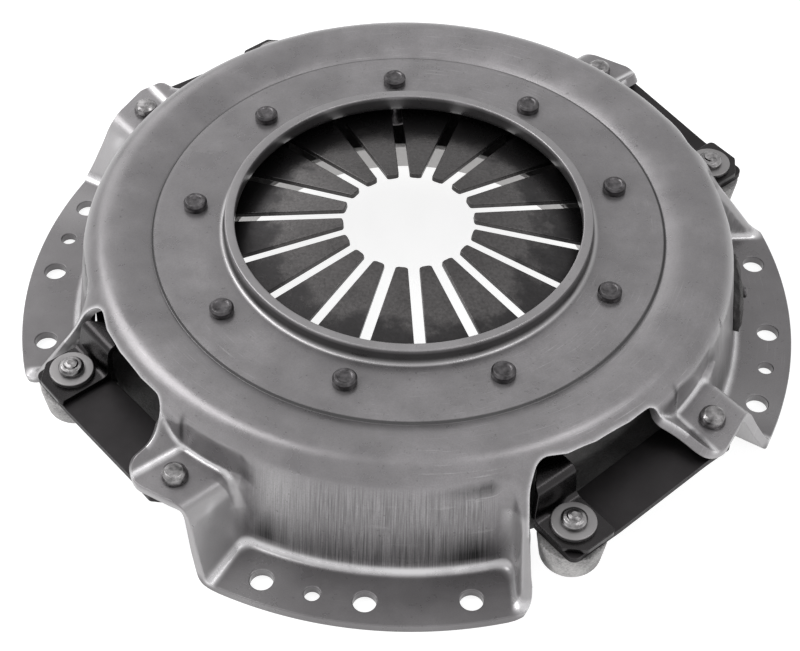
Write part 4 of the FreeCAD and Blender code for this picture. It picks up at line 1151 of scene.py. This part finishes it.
# Camera, fitted to the photograph
scene = bpy.context.scene
EYE = Vector((0.05851, -0.65488, 0.72013))
AIM = Vector((-0.00193, -0.01746, 0.005))
ROLL = radians(0.937)
cam = bpy.data.objects.new("camera", bpy.data.cameras.new("camera"))
scene.collection.objects.link(cam)
cam.data.sensor_width = 36.0
cam.data.lens = 83.31
cam.data.clip_start = 0.01
towards = (AIM - EYE).to_track_quat("-Z", "Y").to_matrix().to_4x4()
cam.matrix_world = Matrix.Translation(EYE) @ towards @ Matrix.Rotation(ROLL, 4, "Z")
scene.camera = cam


# World, lamps and floor: the backdrop shows white to the camera and by way of gloss or glass, and
# lights the object only dimly
def seen_ray(tree):
    """1 for rays that show the backdrop, 0 for those that light the object."""
    path = tree.nodes.new("ShaderNodeLightPath").outputs
    seen = path["Is Camera Ray"]
    for kind in ("Is Glossy Ray", "Is Transmission Ray"):
        either = tree.nodes.new("ShaderNodeMath")
        either.operation = "MAXIMUM"
        tree.links.new(seen, either.inputs[0])
        tree.links.new(path[kind], either.inputs[1])
        seen = either.outputs[0]
    return seen


def background(tree, colour, strength):
    n = tree.nodes.new("ShaderNodeBackground")
    n.inputs["Color"].default_value = (*colour, 1)
    n.inputs["Strength"].default_value = strength
    return n.outputs[0]


def softbox(name, at, size, power, glossy):
    """A square lamp that looks at the origin; glossy says whether it shows in reflections."""
    data = bpy.data.lights.new(name, "AREA")
    data.shape = "RECTANGLE"
    data.size = size
    data.size_y = size
    data.energy = power
    ob = bpy.data.objects.new(name, data)
    scene.collection.objects.link(ob)
    ob.location = at
    ob.rotation_euler = (-Vector(at)).to_track_quat("-Z", "Y").to_euler()
    ob.visible_glossy = glossy


world = bpy.data.worlds.new("studio")
scene.world = world
world.use_nodes = True
nt = world.node_tree
nt.nodes.clear()
pick = nt.nodes.new("ShaderNodeMixShader")
nt.links.new(seen_ray(nt), pick.inputs[0])
nt.links.new(background(nt, (0.97, 0.98, 1.0), 0.35), pick.inputs[1])
nt.links.new(background(nt, (1, 1, 1), 1.0), pick.inputs[2])
nt.links.new(pick.outputs[0], nt.nodes.new("ShaderNodeOutputWorld").inputs["Surface"])

# name, place, size, power in watts, whether it shows in reflections
LAMPS = [
    ("key_left", (-1.1, 0.33, 1.25), 0.8, 9.0, True),
    ("back_left", (-0.9, 1.2, 0.8), 0.9, 3.0, True),
    ("top_left", (-0.6, 0.05, 1.5), 0.45, 2.6, True),
    ("top_right", (0.65, 0.05, 1.5), 0.45, 2.6, True),
    ("fill_left", (-1.2, -1.0, 0.45), 1.0, 22.0, False),
    ("fill_right", (1.2, -1.0, 0.45), 1.0, 15.0, False),
]
for lamp in LAMPS:
    softbox(*lamp)

FLOOR_HALF, FLOOR_Z = 3000.0, -0.5
pale = Graph("floor_white")
pale.set(Base_Color=(0.4, 0.4, 0.4, 1.0), Roughness=0.9)
glow = pale.nt.nodes.new("ShaderNodeEmission")
glow.inputs["Strength"].default_value = 0.85
lit = pale.bsdf.outputs[0]
shown = pale.node("ShaderNodeAddShader", lit, glow.outputs[0]).outputs[0]
surface = pale.node("ShaderNodeMixShader", seen_ray(pale.nt), lit, shown).outputs[0]
pale.nt.links.new(surface, pale.nt.nodes["Material Output"].inputs["Surface"])
corners = [(x * FLOOR_HALF, y * FLOOR_HALF, FLOOR_Z) for x, y in ((-1, -1), (1, -1), (1, 1), (-1, 1))]
floor = make_mesh("studio_floor", corners, [(0, 1, 2, 3)], pale.mat, smooth=False)

scene.view_settings.view_transform = "Standard"
